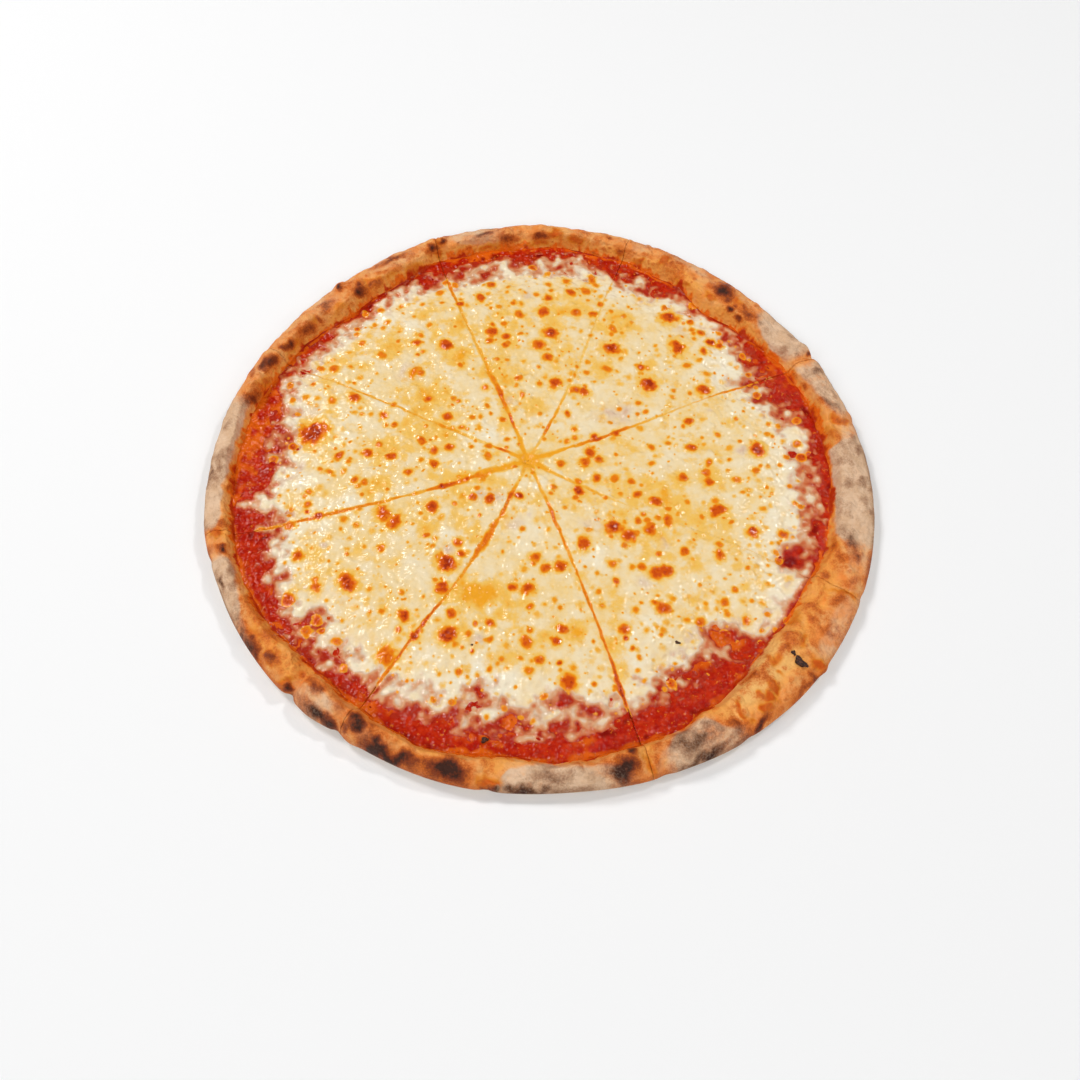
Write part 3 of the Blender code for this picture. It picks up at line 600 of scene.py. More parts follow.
def seen_at(x, y, height):
    """Where a point of that height shows on the level plane of the marks, along the line from the eye."""
    stretch = (EYE[2] - MARK_PLANE) / (EYE[2] - height)
    return EYE[0] + (x - EYE[0]) * stretch, EYE[1] + (y - EYE[1]) * stretch


def ray_reach(ray, radius):
    """Distance from the crossing, along a ray's bearing, to the circle of that radius about the middle."""
    along = CUT_CROSSING[0] * np.cos(np.radians(ray)) + CUT_CROSSING[1] * np.sin(np.radians(ray))
    crossing_squared = CUT_CROSSING[0] ** 2 + CUT_CROSSING[1] ** 2
    return -along + np.sqrt(radius ** 2 - crossing_squared + along ** 2)


def rim_bearing(ray):
    """Bearing about the middle of the point where a ray from the crossing meets the outline."""
    reach = ray_reach(ray, MEAN_RADIUS)
    x = CUT_CROSSING[0] + reach * np.cos(np.radians(ray))
    y = CUT_CROSSING[1] + reach * np.sin(np.radians(ray))
    return np.degrees(np.arctan2(y, x))


def cut_drift(cut, reach):
    """Anticlockwise drift of a cut from its straight ray, at a distance from the crossing."""
    bow, swing = CUTS[cut % SLICES][1:]
    turn = math.pi * reach / CUT_LENGTH
    return (bow * np.sin(turn) + swing * np.sin(2.0 * turn)) * MM


def slice_rays(index, across):
    """Bearings from the crossing of the columns of a slice, across running from its first cut to its next."""
    first = CUTS[index][0]
    following = CUTS[(index + 1) % SLICES][0]
    return first + np.mod(following - first, 360.0) * across


def slice_plan(index, across, reach, kerf):
    """Plan X and Y of points of a slice, from the share across it and the reach from the crossing.

    The slice's own rays start a little outward on its middle line, which leaves half a kerf along both cuts.
    """
    ray = np.radians(slice_rays(index, across))
    drift = cut_drift(index, reach) * (1.0 - across) + cut_drift(index + 1, reach) * across
    middle_ray = math.radians(float(slice_rays(index, 0.5)))
    outward = kerf / 2.0 / math.sin(middle_ray - math.radians(CUTS[index][0]))
    tip_x = CUT_CROSSING[0] + outward * math.cos(middle_ray)
    tip_y = CUT_CROSSING[1] + outward * math.sin(middle_ray)
    x = tip_x + (reach - outward) * np.cos(ray) - drift * np.sin(ray)
    y = tip_y + (reach - outward) * np.sin(ray) + drift * np.cos(ray)
    return x, y


def rim_height(bearing, radius):
    """Height of the crust's upper side: the base, an eased slope to the crest, then a quarter of an ellipse.

    Folds and blisters are added to it, fading in up the slope and out at the outer edge.
    """
    edge = edge_radius(bearing)
    foot = around(bearing, SAUCE_EDGE) + LAYER_GAP
    crest = foot + INNER_SLOPE
    crest_height = around(bearing, CREST_HEIGHT)
    climb = ease((radius - foot) / INNER_SLOPE)
    out = np.clip((radius - crest) / (edge - crest), 0.0, 1.0)
    fall = 1.0 - np.sqrt(1.0 - out ** 2)
    edge_top = EDGE_HEIGHT + EDGE_FACE / 2.0
    height = DOUGH_THICKNESS + (crest_height - DOUGH_THICKNESS) * climb - (crest_height - edge_top) * fall
    raised = climb * np.clip(1.0 - out ** 2, 0.0, 1.0) ** 0.25
    return height + (fold_height(bearing) + blister_height(bearing, edge - radius)) * raised


def rim_surface(x, y, bearing, radius):
    """Height of the crust's upper side with its rough forms.

    The smooth profile is looked up at a radius that wanders by up to 2 mm. Lumps, roughness and bubbles are
    laid on it. All of them fade in up the inner slope and out at the outer edge.
    """
    edge = edge_radius(bearing)
    foot = around(bearing, SAUCE_EDGE) + LAYER_GAP
    out = np.clip((radius - foot - INNER_SLOPE) / (edge - foot - INNER_SLOPE), 0.0, 1.0)
    free = 1.0 - out ** 2
    wandered = radius + waves(x, y, RIM_WANDER) * MM * free
    height = rim_height(bearing, wandered)
    climb = ease((wandered - foot) / INNER_SLOPE)
    seen_x, seen_y = seen_at(x, y, height)
    lumps = waves(x, y, RIM_LUMPS) + waves(x, y, RIM_ROUGHNESS) * climb ** 2
    bubbles = rim_bubbles(seen_x, seen_y)[0]
    return height + (lumps * MM + bubbles) * np.sqrt(climb) * free ** 0.25


def rim_bubbles(seen_x, seen_y):
    """Height of the bubbles in metres, and how far each point is up on one, from 0 to 1.

    A bubble is a dome: the square root of one less the squared distance from its middle.
    """
    marks = [*RIM_BUBBLES, *tiny_bubbles()]
    height = np.zeros_like(seen_x)
    share = np.zeros_like(seen_x)
    radius = np.hypot(seen_x, seen_y) / MM
    bearing = np.degrees(np.arctan2(seen_y, seen_x))
    for mark, at_radius, size, rise in marks:
        along = np.radians(apart(bearing, mark)) * at_radius / (size / 2.0)
        outward = (radius - at_radius) / (size / 2.0)
        dome = np.sqrt(np.clip(1.0 - along ** 2 - outward ** 2, 0.0, 1.0))
        height = np.maximum(height, BUBBLE_GAIN * rise * MM * dome)
        share = np.maximum(share, dome)
    return height, share


def tiny_bubbles():
    """Random small bubbles where the rim blistered: on its far side, its near left and its near right."""
    draw = np.random.default_rng(BUBBLE_SEED)
    far = draw.uniform(40.0, 166.0, 190)
    near_left = draw.uniform(206.0, 227.0, 30)
    near_right = draw.uniform(302.0, 345.0, 40)
    bearing = np.concatenate((far, near_left, near_right))
    radius = draw.uniform(139.0, 157.0, len(bearing))
    size = draw.uniform(1.8, 4.2, len(bearing))
    rise = size * draw.uniform(0.10, 0.22, len(bearing))
    return np.column_stack((bearing, radius, size, rise))


def oval_share(x, y, mark):
    """Distance from the middle of an oval mark in half widths: 0 in the middle and 1 at its edge."""
    across = (x / MM - mark[0]) / (mark[2] / 2.0)
    up = (y / MM - mark[1]) / (mark[3] / 2.0)
    return np.sqrt(across ** 2 + up ** 2)


def oval_patches(x, y, marks):
    """Soft patches: the strongest of the marks' strengths, each falling off as a bell round its oval."""
    total = np.zeros_like(x)
    for mark in marks:
        near = oval_share(x, y, mark)
        total = np.maximum(total, mark[4] * np.exp(-(near ** 2)))
    return total


def rim_patches(x, y, marks, power):
    """Soft patches on the rim: the strongest of the marks' strengths. A higher power gives a firmer edge."""
    radius = np.hypot(x, y) / MM
    bearing = np.degrees(np.arctan2(y, x))
    total = np.zeros_like(x)
    for mark, at_radius, length, width, strength in marks:
        along = np.radians(apart(bearing, mark)) * at_radius / (length / 2.0)
        outward = (radius - at_radius) / (width / 2.0)
        near = np.sqrt(along ** 2 + outward ** 2)
        total = np.maximum(total, strength * np.exp(-(near ** power)))
    return total


def sauce_level(x, y):
    """Height of the open sauce: level, with bumps of pulp."""
    return SAUCE_TOP + waves(x, y, PULP) * MM


def ground(x, y, bearing, radius):
    """Height that the cheese lies on: the sauce, or the rim where that is higher, with a rounded corner."""
    rim = rim_surface(x, y, bearing, radius)
    sauce = sauce_level(x, y)
    share = np.clip(0.5 + 0.5 * (rim - sauce) / GROUND_CORNER, 0.0, 1.0)
    return sauce + (rim - sauce) * share + GROUND_CORNER / 2.0 * share * (1.0 - share)


def cheese_cover(x, y):
    """Millimetres inside the cheese's ragged edge, negative outside it.

    It is the distance in from the edge's knots, less an eased thinning, plus rags of noise that fade inward.
    Loose strands lie where noise is high. The listed windows are taken out and the islands put in. Near the
    outer limit of the grid it falls by 2 for each millimetre, so that the cheese ends inside the grid.
    """
    radius = np.hypot(x, y)
    bearing = np.degrees(np.arctan2(y, x))
    ragged = waves(x, y, EDGE_RAGS)
    inside = (around(bearing, CHEESE_EDGE) - radius) / MM + EDGE_OUTSET
    frayed = ragged * np.clip(1.2 - inside / EDGE_FRAY_REACH, 0.12, 1.0)
    cover = inside - EDGE_THINNING * ease(inside / EDGE_THINNING_REACH) + frayed
    cover = np.maximum(cover, STRAND_COVER * (waves(x, y, LOOSE_STRANDS) - STRAND_LEVEL))
    cover = np.minimum(cover, 2.0 * ((cheese_limit(bearing) - radius) / MM - LIMIT_MARGIN))
    for mark in SAUCE_WINDOWS:
        mean_radius = (mark[2] + mark[3]) / 4.0
        cover = np.minimum(cover, (oval_share(x, y, mark) - 0.9) * mean_radius + 0.75 * ragged)
    for mark in CHEESE_ISLANDS:
        mean_radius = (mark[2] + mark[3]) / 4.0
        cover = np.maximum(cover, (1.0 - oval_share(x, y, mark)) * mean_radius + 0.60 * ragged)
    return cover


def cheese_limit(bearing):
    """Outer limit of the cheese's grid: 8 mm past its edge, but at most 3 mm past the foot of the rim."""
    return np.minimum(around(bearing, CHEESE_EDGE) + 8.0 * MM, around(bearing, SAUCE_EDGE) + 3.0 * MM)


def near_points(x, y, mark_x, mark_y, reach):
    """Indices of the points of flat arrays within a square of that half side about a mark."""
    return np.nonzero((np.abs(x - mark_x) < reach) & (np.abs(y - mark_y) < reach))[0]


def freckle_marks():
    """Random freckles all over the cheese: x, y, size, darkness. Most are small and pale."""
    draw = np.random.default_rng(FRECKLE_SEED)
    radius = FRECKLE_REACH * np.sqrt(draw.uniform(0.0, 1.0, FRECKLE_COUNT))
    bearing = draw.uniform(0.0, 2.0 * math.pi, FRECKLE_COUNT)
    size = 0.9 + 2.6 * draw.uniform(0.0, 1.0, FRECKLE_COUNT) ** 2.2
    dark = 0.08 + 0.36 * draw.uniform(0.0, 1.0, FRECKLE_COUNT) ** 1.8
    return np.column_stack((radius * np.cos(bearing), radius * np.sin(bearing), size, dark))


def cheese_marks(x, y):
    """Brown, halo and dome height that blisters and freckles give to points, as flat arrays.

    Each mark is an oval turned at random, and its outline wanders with noise. Brown is full in its middle and
    eases out. The halo is a wider bell. The dome is a low paraboloid.
    """
    brown = np.zeros_like(x)
    halo = np.zeros_like(x)
    dome = np.zeros_like(x)
    wander = waves(x, y, MARK_WANDER)
    marks = np.concatenate((np.array(CHEESE_BLISTERS), freckle_marks()))
    draw = np.random.default_rng(MARK_SHAPE_SEED)
    stretch = draw.uniform(0.85, 1.18, len(marks))
    turn = draw.uniform(0.0, math.pi, len(marks))
    shapes = np.column_stack((marks, stretch, np.cos(turn), np.sin(turn)))
    largest = 6.0
    inside_x = (shapes[:, 0] > x.min() / MM - largest) & (shapes[:, 0] < x.max() / MM + largest)
    inside_y = (shapes[:, 1] > y.min() / MM - largest) & (shapes[:, 1] < y.max() / MM + largest)
    for mark_x, mark_y, size, dark, longer, cosine, sine in shapes[inside_x & inside_y]:
        at = near_points(x, y, mark_x * MM, mark_y * MM, size * 1.6 * MM)
        if not len(at):
            continue
        from_x = x[at] / MM - mark_x
        from_y = y[at] / MM - mark_y
        along = (from_x * cosine + from_y * sine) * longer
        aside = (from_y * cosine - from_x * sine) / longer
        near = np.hypot(along, aside) / (size / 2.0) + wander[at]
        brown[at] = np.maximum(brown[at], dark * ease((1.42 - near) / 1.10))
        glow = min(1.0, 0.4 + 0.6 * dark)
        halo[at] = np.maximum(halo[at], glow * np.exp(-((near / 1.6) ** 3)))
        rise = 0.09 * size ** 0.8 * dark ** 0.5 * MM
        dome[at] = np.maximum(dome[at], rise * np.clip(1.0 - (near / 1.2) ** 2, 0.0, 1.0))
    return brown, halo, dome


def cheese_field(x, y, bearing, radius):
    """Top of the cheese at flat arrays of plan points, and its masks: brown, oil, thin, milk.

    Lace is how much the cheese breaks into strands, which it does near its edge. The milky mask follows the
    listed patches and the margin, and is raised on the high parts of the relief as painted light on the lump
    tops. Oil is lowered on the high parts, which leaves painted shade in the hollows. The other masks and the
    height have functions below.
    """
    cover = cheese_cover(x, y)
    seen_x, seen_y = seen_at(x, y, SAUCE_TOP + CHEESE_RISE)
    brown, halo, dome = cheese_marks(seen_x, seen_y)
    cut_orange, cut_brown, reach = cut_marks(x, y)
    pink = oval_patches(seen_x, seen_y, THIN_PATCHES) * (0.85 + 0.5 * noise(x, y, 3.2 * MM, 31))
    milk_and_lit_tops = oval_patches(seen_x, seen_y, MILK_PATCHES)
    margin = ease((26.0 - cover) / 24.0)
    lace = ease((16.0 - cover) / 14.0)
    strands = waves(x, y, CHEESE_STRANDS)
    relief = waves(x, y, CHEESE_LUMPS) + strands * lace
    lies_on = ground(x, y, bearing, radius)
    on_rim = ease((lies_on - SAUCE_TOP - 0.8 * MM) / (2.0 * MM))
    worn = CHEESE_CUT_DROP * cut_orange + CROSSING_DROP * (1.0 - ease(reach / CROSSING_SIZE))
    top = lies_on + cheese_height(cover, relief, dome, pink, worn)
    gaps = ease((-strands - 0.02) / 0.36) * lace
    thin = thin_share(x, y, cover, pink, gaps) * (1.0 - 0.6 * on_rim)
    wander = layered_noise(x, y, 15.0 * MM, 37)
    spots = noise(x, y, 4.0 * MM, 39)
    oil = 1.05 * oval_patches(seen_x, seen_y, OIL_PATCHES) + 0.60 * wander + 0.25 * spots + 0.03
    # Painted shade: oil is taken off the high parts of the relief and left in its hollows, which makes the
    # hollows warmer, like shade in translucent cheese.
    oil = oil * (1.0 - 0.85 * milk_and_lit_tops) * (1.0 - 0.60 * margin) - 0.20 * np.clip(relief / 0.3, -1.0, 1.0)
    oil = gathered_oil(oil, cover, halo, cut_orange, reach / MM + 2.0 * spots)
    oil = np.maximum(oil, (0.80 + 0.4 * wander) * on_rim)
    brown = np.maximum(brown, cut_brown * (0.3 + 0.7 * ease((cover - 1.0) / 5.0)))
    # Painted light: the high parts of the relief are made milkier and so paler.
    milk_and_lit_tops = milk_and_lit_tops + 0.60 * margin + 0.40 * np.clip(relief / 0.35, -1.0, 1.0)
    masks = {"brown": brown, "oil": oil, "thin": thin, "milk_and_lit_tops": milk_and_lit_tops}
    return top, {name: np.clip(mask, 0.0, 1.0) for name, mask in masks.items()}


def cheese_height(cover, relief, dome, pink, worn):
    """Height of the cheese's top over what it lies on.

    It is a film that eases up to the full rise, first over 9 mm of cover and then over 23 mm. Relief and
    domes are added and the worn edges of the cuts taken away, all fading at the edge. Outside it sinks.
    """
    body = CHEESE_RISE * (0.22 * ease(cover / 9.0) + 0.78 * ease((cover - 3.0) / 20.0))
    sunk = 0.7 * MM * ease((0.6 - cover) / 2.0) + 1.2 * MM * ease((-1.4 - cover) / 4.0)
    raised = relief * MM * ease((cover + 1.0) / 5.0) + dome * ease(cover / 3.0)
    return body + CHEESE_FILM * (1.0 - pink) - sunk + raised - worn * ease(cover / 4.0)


def thin_share(x, y, cover, pink, gaps):
    """How far the sauce shows through: the most of a veil near the edge, the listed patches and the gaps."""
    veil = cover + waves(x, y, VEIL_WANDER)
    scant = 1.0 - ease((veil + 0.8) / 10.5)
    return np.maximum(np.maximum(scant, 0.62 * pink), 0.80 * gaps)


def gathered_oil(oil, cover, halo, cut_orange, reach):
    """Oil that lies in general, or more of it round the blisters, in the cuts and at their crossing."""
    oil = np.maximum(oil, 0.9 * halo * ease((cover - 0.5) / 4.0))
    oil = np.maximum(oil, cut_orange * ease((cover - 1.0) / 6.0))
    return np.maximum(oil, 0.95 * (1.0 - ease((reach - 2.0) / 6.0)))


def cut_marks(x, y):
    """Orange and brown beside the cuts, from 0 to 1, and the distance to the crossing.

    Each cut is four fifths as wide as its knots say, times a wobble of noise, and wanders to its sides. Its
    colour is full in its middle and eases out at its soft edges.
    """
    from_x = x - CUT_CROSSING[0]
    from_y = y - CUT_CROSSING[1]
    reach = np.hypot(from_x, from_y)
    ray = np.degrees(np.arctan2(from_y, from_x))
    orange = np.zeros_like(x)
    brown = np.zeros_like(x)
    wobble = 1.0 + waves(x, y, CUT_WIDTH_WANDER)
    shift = waves(x, y, CUT_SHIFT)
    for cut in range(SLICES):
        turned = apart(ray, CUTS[cut][0])
        aside = (np.radians(turned) * reach - cut_drift(cut, reach)) / MM
        knots = np.array(CUT_MARKS[cut])
        width = 0.80 * np.interp(reach / MM, knots[:, 0], knots[:, 1]) * wobble
        fade = 1.0 - ease((np.abs(aside + shift * width / 2.0) - 0.22 * width) / (0.55 + 0.60 * width))
        fade = np.where(np.abs(turned) < 60.0, fade, 0.0)
        orange = np.maximum(orange, fade * np.interp(reach / MM, knots[:, 0], knots[:, 2]) / 100.0)
        brown = np.maximum(brown, fade ** 2 * np.interp(reach / MM, knots[:, 0], knots[:, 3]) / 100.0)
    return orange, brown * (0.9 + 0.3 * noise(x, y, 2.6 * MM, 95)), reach


def cheese_slice(index):
    """Top points of a slice's cheese as rows by columns, with its masks.

    Rows are even from the tip to the grid's outer limit. Columns are a little closer near both cuts.
    """
    across = 0.5 - 0.5 * np.cos(math.pi * np.linspace(0.0, 1.0, CHEESE_COLUMNS + 1))
    across = 0.35 * across + 0.65 * np.linspace(0.0, 1.0, CHEESE_COLUMNS + 1)
    along = np.linspace(0.0, 1.0, CHEESE_ROWS + 1)
    across, along = np.meshgrid(across, along)
    ray = slice_rays(index, across)
    bearing = rim_bearing(ray)
    edge_reach = ray_reach(ray, cheese_limit(bearing))
    reach = CHEESE_TIP + (edge_reach - CHEESE_TIP) * along
    x, y = slice_plan(index, across, reach, CHEESE_KERF)
    radius = np.hypot(x, y)
    top, masks = cheese_field(x.ravel(), y.ravel(), bearing.ravel(), radius.ravel())
    return x, y, top.reshape(x.shape), {name: mask.reshape(x.shape) for name, mask in masks.items()}


def sauce_slice(index):
    """Top points of a slice's sauce, with its masks: orange and dark.

    The inner rows are level and hidden. The rows of the ring are the higher of the sauce's level and a film
    on the rim's slope. Shore is the distance in from a wandering edge, outside which both sink out of sight.
    """
    across = np.linspace(0.0, 1.0, SAUCE_COLUMNS + 1)
    inner = np.linspace(0.0, 1.0, SAUCE_INNER_ROWS, endpoint=False)
    ring = np.linspace(0.0, 1.0, SAUCE_RING_ROWS + 1)
    row = np.concatenate((inner * 0.5, 0.5 + ring * 0.5))
    across, row = np.meshgrid(across, row)
    ray = slice_rays(index, across)
    bearing = rim_bearing(ray)
    outer = ray_reach(ray, around(bearing, SAUCE_EDGE) + SAUCE_OVERLAP)
    start = outer - SAUCE_RING_WIDTH
    in_ring = row >= 0.5
    inner_reach = CRUST_TIP + (start - CRUST_TIP) * row * 2.0
    reach = np.where(in_ring, start + (outer - start) * (row - 0.5) * 2.0, inner_reach)
    x, y = slice_plan(index, across, reach, CRUST_KERF)
    radius = np.hypot(x, y)
    shore = (around(bearing, SAUCE_EDGE) - radius) / MM + 0.6 + waves(x, y, SHORE_WANDER)
    film = 0.32 * MM * ease(shore / 3.0) - 0.70 * MM * (1.0 - ease((shore + 1.2) / 1.8))
    film = film + rim_surface(x, y, bearing, radius)
    level = sauce_level(x, y) - 2.0 * MM * ease(-(shore + 1.0) / 2.0)
    top = np.where(in_ring, np.maximum(level, film), SAUCE_TOP - 0.1 * MM)
    listed = oval_patches(x, y, SAUCE_OILY) - oval_patches(x, y, SAUCE_DEEP)
    oily = 0.16 + 0.60 * layered_noise(x, y, 14.0 * MM, 53) + waves(x, y, SAUCE_MOTTLE) + listed
    orange = np.clip(oily + 0.70 * ease((2.2 - shore) / 3.0), 0.0, 1.0)
    deep = 0.8 * layered_noise(x, y, 10.0 * MM, 54) + 0.45 * noise(x, y, 3.6 * MM, 57)
    dark = np.clip(0.30 + deep - 0.5 * orange, 0.0, 1.0)
    return x, y, top, {"orange": orange, "dark": dark}


def crust_slice(index):
    """Points of a slice's crust: X, Y, underside, top, and the masks of its upper side.

    The base is flat as far as 3 mm inside the foot of the rim. The slope and the outer side have close rows.
    Burnt places crackle. The underside is flat, and curves up near the outline as a quarter of an ellipse.
    """
    across = np.linspace(0.0, 1.0, CRUST_COLUMNS + 1)
    base = np.linspace(0.0, 1.0, CRUST_BASE_ROWS, endpoint=False)
    slope = 1.0 + np.linspace(0.0, 1.0, CRUST_SLOPE_ROWS, endpoint=False)
    outer = 2.0 + np.linspace(0.0, 1.0, CRUST_OUTER_ROWS + 1)
    across, row = np.meshgrid(across, np.concatenate((base, slope, outer)))
    ray = slice_rays(index, across)
    bearing = rim_bearing(ray)
    edge = edge_radius(bearing)
    crest = around(bearing, SAUCE_EDGE) + LAYER_GAP + INNER_SLOPE
    start = crest - INNER_SLOPE - 3.0 * MM
    radius = start + (crest - start) * np.clip(row - 1.0, 0.0, 1.0)
    radius = radius + (edge - crest) * np.sin(np.clip(row - 2.0, 0.0, 1.0) * math.pi / 2.0)
    base_reach = CRUST_TIP + (ray_reach(ray, start) - CRUST_TIP) * np.clip(row, 0.0, 1.0)
    on_base = row < 1.0
    x, y = slice_plan(index, across, np.where(on_base, base_reach, ray_reach(ray, radius)), CRUST_KERF)
    top = np.where(on_base, DOUGH_THICKNESS, rim_surface(x, y, bearing, radius))
    masks = crust_masks(x, y, top, radius, crest, edge)
    out = np.clip((radius - crest) / (edge - crest), 0.0, 1.0)
    top = top + masks["brown"] ** 3 * waves(x, y, CRACKLE) * MM * (1.0 - out ** 4)
    inward = np.where(on_base, UNDERSIDE_LIFT, edge - radius)
    lift = 1.0 - np.clip(inward / UNDERSIDE_LIFT, 0.0, 1.0)
    underside = (EDGE_HEIGHT - EDGE_FACE / 4.0) * (1.0 - np.sqrt(1.0 - lift ** 2))
    underside = underside + 0.12 * MM * (1.0 + noise(x, y, 6.0 * MM, 67)) * (1.0 - lift)
    top = np.maximum(top, underside + EDGE_FACE / 4.0)
    return x, y, underside, top, masks


def crust_masks(x, y, top, radius, crest, edge):
    """Masks of the rim: brown, flour, oil, stain of sauce, smear of cheese and amber.

    The listed patches are looked up at places shifted by noise. Brown is the most of the patches, the burnt
    places, a general toasting that is stronger on the lumps, the outer edge and the bubbles, and weaker on
    the far side as painted light. Oil lies inside the listed limit and near the foot. Flour lies outside
    that limit, and the stain at the foot.
    """
    wander = layered_noise(x, y, 9.0 * MM, 71)
    fine = layered_noise(x, y, 2.6 * MM, 72)
    seen_x, seen_y = seen_at(x, y, top)
    shift_x = seen_x + waves(x, y, PATCH_SHIFT_X) * MM
    shift_y = seen_y + waves(x, y, PATCH_SHIFT_Y) * MM
    seen_radius = np.hypot(seen_x, seen_y) / MM
    seen_bearing = np.degrees(np.arctan2(seen_y, seen_x))
    out = np.clip((radius - crest) / (edge - crest), 0.0, 1.0)
    above_foot = (radius - crest + INNER_SLOPE) / MM
    patches = 1.06 * rim_patches(shift_x, shift_y, RIM_BROWN, 2.0)
    charred = 0.86 * rim_patches(shift_x, shift_y, RIM_CHAR, 2.0)
    brown = np.maximum(patches, charred) * (1.0 + 0.40 * fine)
    # Painted light: the general toasting is weaker round the far side, so that the far inner slope, which the
    # lamps light less, reads paler.
    far_side_painted_light = np.exp(-((apart(seen_bearing, 112.0) / 70.0) ** 8))
    everywhere = 0.20 - 0.10 * far_side_painted_light + 0.36 * wander + 0.38 * waves(x, y, LUMP_TOPS) + 0.14 * fine
    brown = np.maximum(brown, everywhere) * (0.5 + 0.5 * ease((above_foot - 1.5) / 4.5))
    brown = np.maximum(brown, (0.42 + 0.35 * wander) * ease((out - 0.72) / 0.28))
    domes = rim_bubbles(seen_x, seen_y)[1]
    brown = np.maximum(brown, 0.34 * ease((domes - 0.40) / 0.60) + 0.10 * fine)
    limit = around(seen_bearing, RIM_ORANGE) / MM
    inside = (limit - seen_radius) + 2.2 * wander + 1.2 * fine
    golden = ease((inside + 1.5) / 9.0) * (0.50 + 0.35 * wander + 0.25 * fine)
    oil = np.maximum(golden, ease((4.2 + 2.0 * fine - above_foot) / 3.0))
    amber = 1.25 * rim_patches(shift_x, shift_y, RIM_AMBER, 2.4) * (1.0 + 0.4 * fine)
    flour = share_around(seen_bearing, RIM_FLOUR) * ease((1.5 - inside) / 4.0) * (0.9 + 0.35 * fine)
    stain = ease((2.2 - above_foot + 3.2 * wander + 1.4 * fine) / 2.4)
    beside_smear = np.exp(-((apart(seen_bearing, SMEAR_BEARING) / SMEAR_HALF_WIDTH) ** 4))
    smear = beside_smear * ease((154.0 + 5.0 * wander - seen_radius) / 7.0)
    masks = {"brown": brown, "flour": flour, "oil": oil, "stain": stain, "smear": smear, "amber": amber}
    return {name: np.clip(mask, 0.0, 1.0) for name, mask in masks.items()}


def slab(name, x, y, underside, top, masks, stride, look, slot, *nodes):
    """A closed piece: a fine upper sheet, a coarse lower sheet of every stride-th point, and walls between.

    Rows run outward and columns anticlockwise, so the upper quads face up. Each wall is one face from a
    stretch of the lower border up to the fine points above it. The masks become attributes of the points.
    """
    rows, columns = x.shape
    upper = np.arange(rows * columns).reshape(rows, columns)
    x_low = x[::stride, ::stride]
    low_rows, low_columns = x_low.shape
    lower = rows * columns + np.arange(low_rows * low_columns).reshape(low_rows, low_columns)
    floor = np.broadcast_to(underside, x.shape)[::stride, ::stride]
    y_low = y[::stride, ::stride]
    points = np.concatenate((
        np.column_stack((x.ravel() - MIDDLE[0], y.ravel() - MIDDLE[1], top.ravel())),
        np.column_stack((x_low.ravel() - MIDDLE[0], y_low.ravel() - MIDDLE[1], floor.ravel())),
    ))
    up_quads = np.stack((upper[:-1, :-1], upper[1:, :-1], upper[1:, 1:], upper[:-1, 1:]), axis=-1)
    up_quads = up_quads.reshape(-1, 4)
    down_quads = np.stack((lower[:-1, :-1], lower[:-1, 1:], lower[1:, 1:], lower[1:, :-1]), axis=-1)
    down_quads = down_quads.reshape(-1, 4)
    walls = [
        border_walls(upper[:, 0], lower[:, 0], stride),
        border_walls(upper[::-1, -1], lower[::-1, -1], stride),
        border_walls(upper[0, ::-1], lower[0, ::-1], stride),
        border_walls(upper[-1, :], lower[-1, :], stride),
    ]
    mesh = bpy.data.meshes.new(name)
    fill_mesh(mesh, points, [up_quads, down_quads, *walls])
    is_wall = np.zeros(len(mesh.polygons), dtype=bool)
    is_wall[len(up_quads) + len(down_quads):] = True
    outer_wall = np.arange(len(mesh.polygons)) >= len(mesh.polygons) - len(walls[-1])
    mesh.polygons.foreach_set("use_smooth", ~is_wall | outer_wall)
    for mask_name, mask in masks.items():
        values = np.concatenate((mask.ravel(), mask[::stride, ::stride].ravel()))
        give_attribute(mesh, mask_name, values)
    is_under = np.concatenate((np.zeros(rows * columns), np.ones(low_rows * low_columns)))
    give_attribute(mesh, "under", is_under)
    mesh.materials.append(look)
    return place(name, mesh, slot, *nodes)


def border_walls(fine, coarse, stride):
    """Wall faces under one border: along two coarse points, then back over the fine points above them."""
    spans = len(coarse) - 1
    starts = np.arange(spans) * stride
    back = fine[(starts[:, None] + stride - np.arange(stride + 1)[None, :])]
    return np.column_stack((coarse[:-1], coarse[1:], back))


def fill_mesh(mesh, points, face_groups):
    """Fills a mesh from an array of points and arrays of faces, each array with its own number of corners."""
    corners = np.concatenate([group.ravel() for group in face_groups]).astype(np.int32)
    totals = np.concatenate([np.full(len(group), group.shape[1]) for group in face_groups]).astype(np.int32)
    starts = np.concatenate(([0], np.cumsum(totals)[:-1])).astype(np.int32)
    mesh.vertices.add(len(points))
    mesh.vertices.foreach_set("co", points.astype(np.float32).ravel())
    mesh.loops.add(len(corners))
    mesh.loops.foreach_set("vertex_index", corners)
    mesh.polygons.add(len(totals))
    mesh.polygons.foreach_set("loop_start", starts)
    mesh.update(calc_edges=True)
    mesh.validate()


def give_attribute(mesh, name, values):
    """Adds a value for each point."""
    attribute = mesh.attributes.new(name, "FLOAT", "POINT")
    attribute.data.foreach_set("value", values.astype(np.float32))


def place(name, mesh, slot, *nodes):
    """Makes the object of a piece, which rides on the root body and stands for the named CAD nodes."""
    piece = bpy.data.objects.new(name, mesh)
    bpy.context.scene.collection.objects.link(piece)
    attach(piece, "root")
    if nodes:
        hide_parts(*nodes)
    return piece


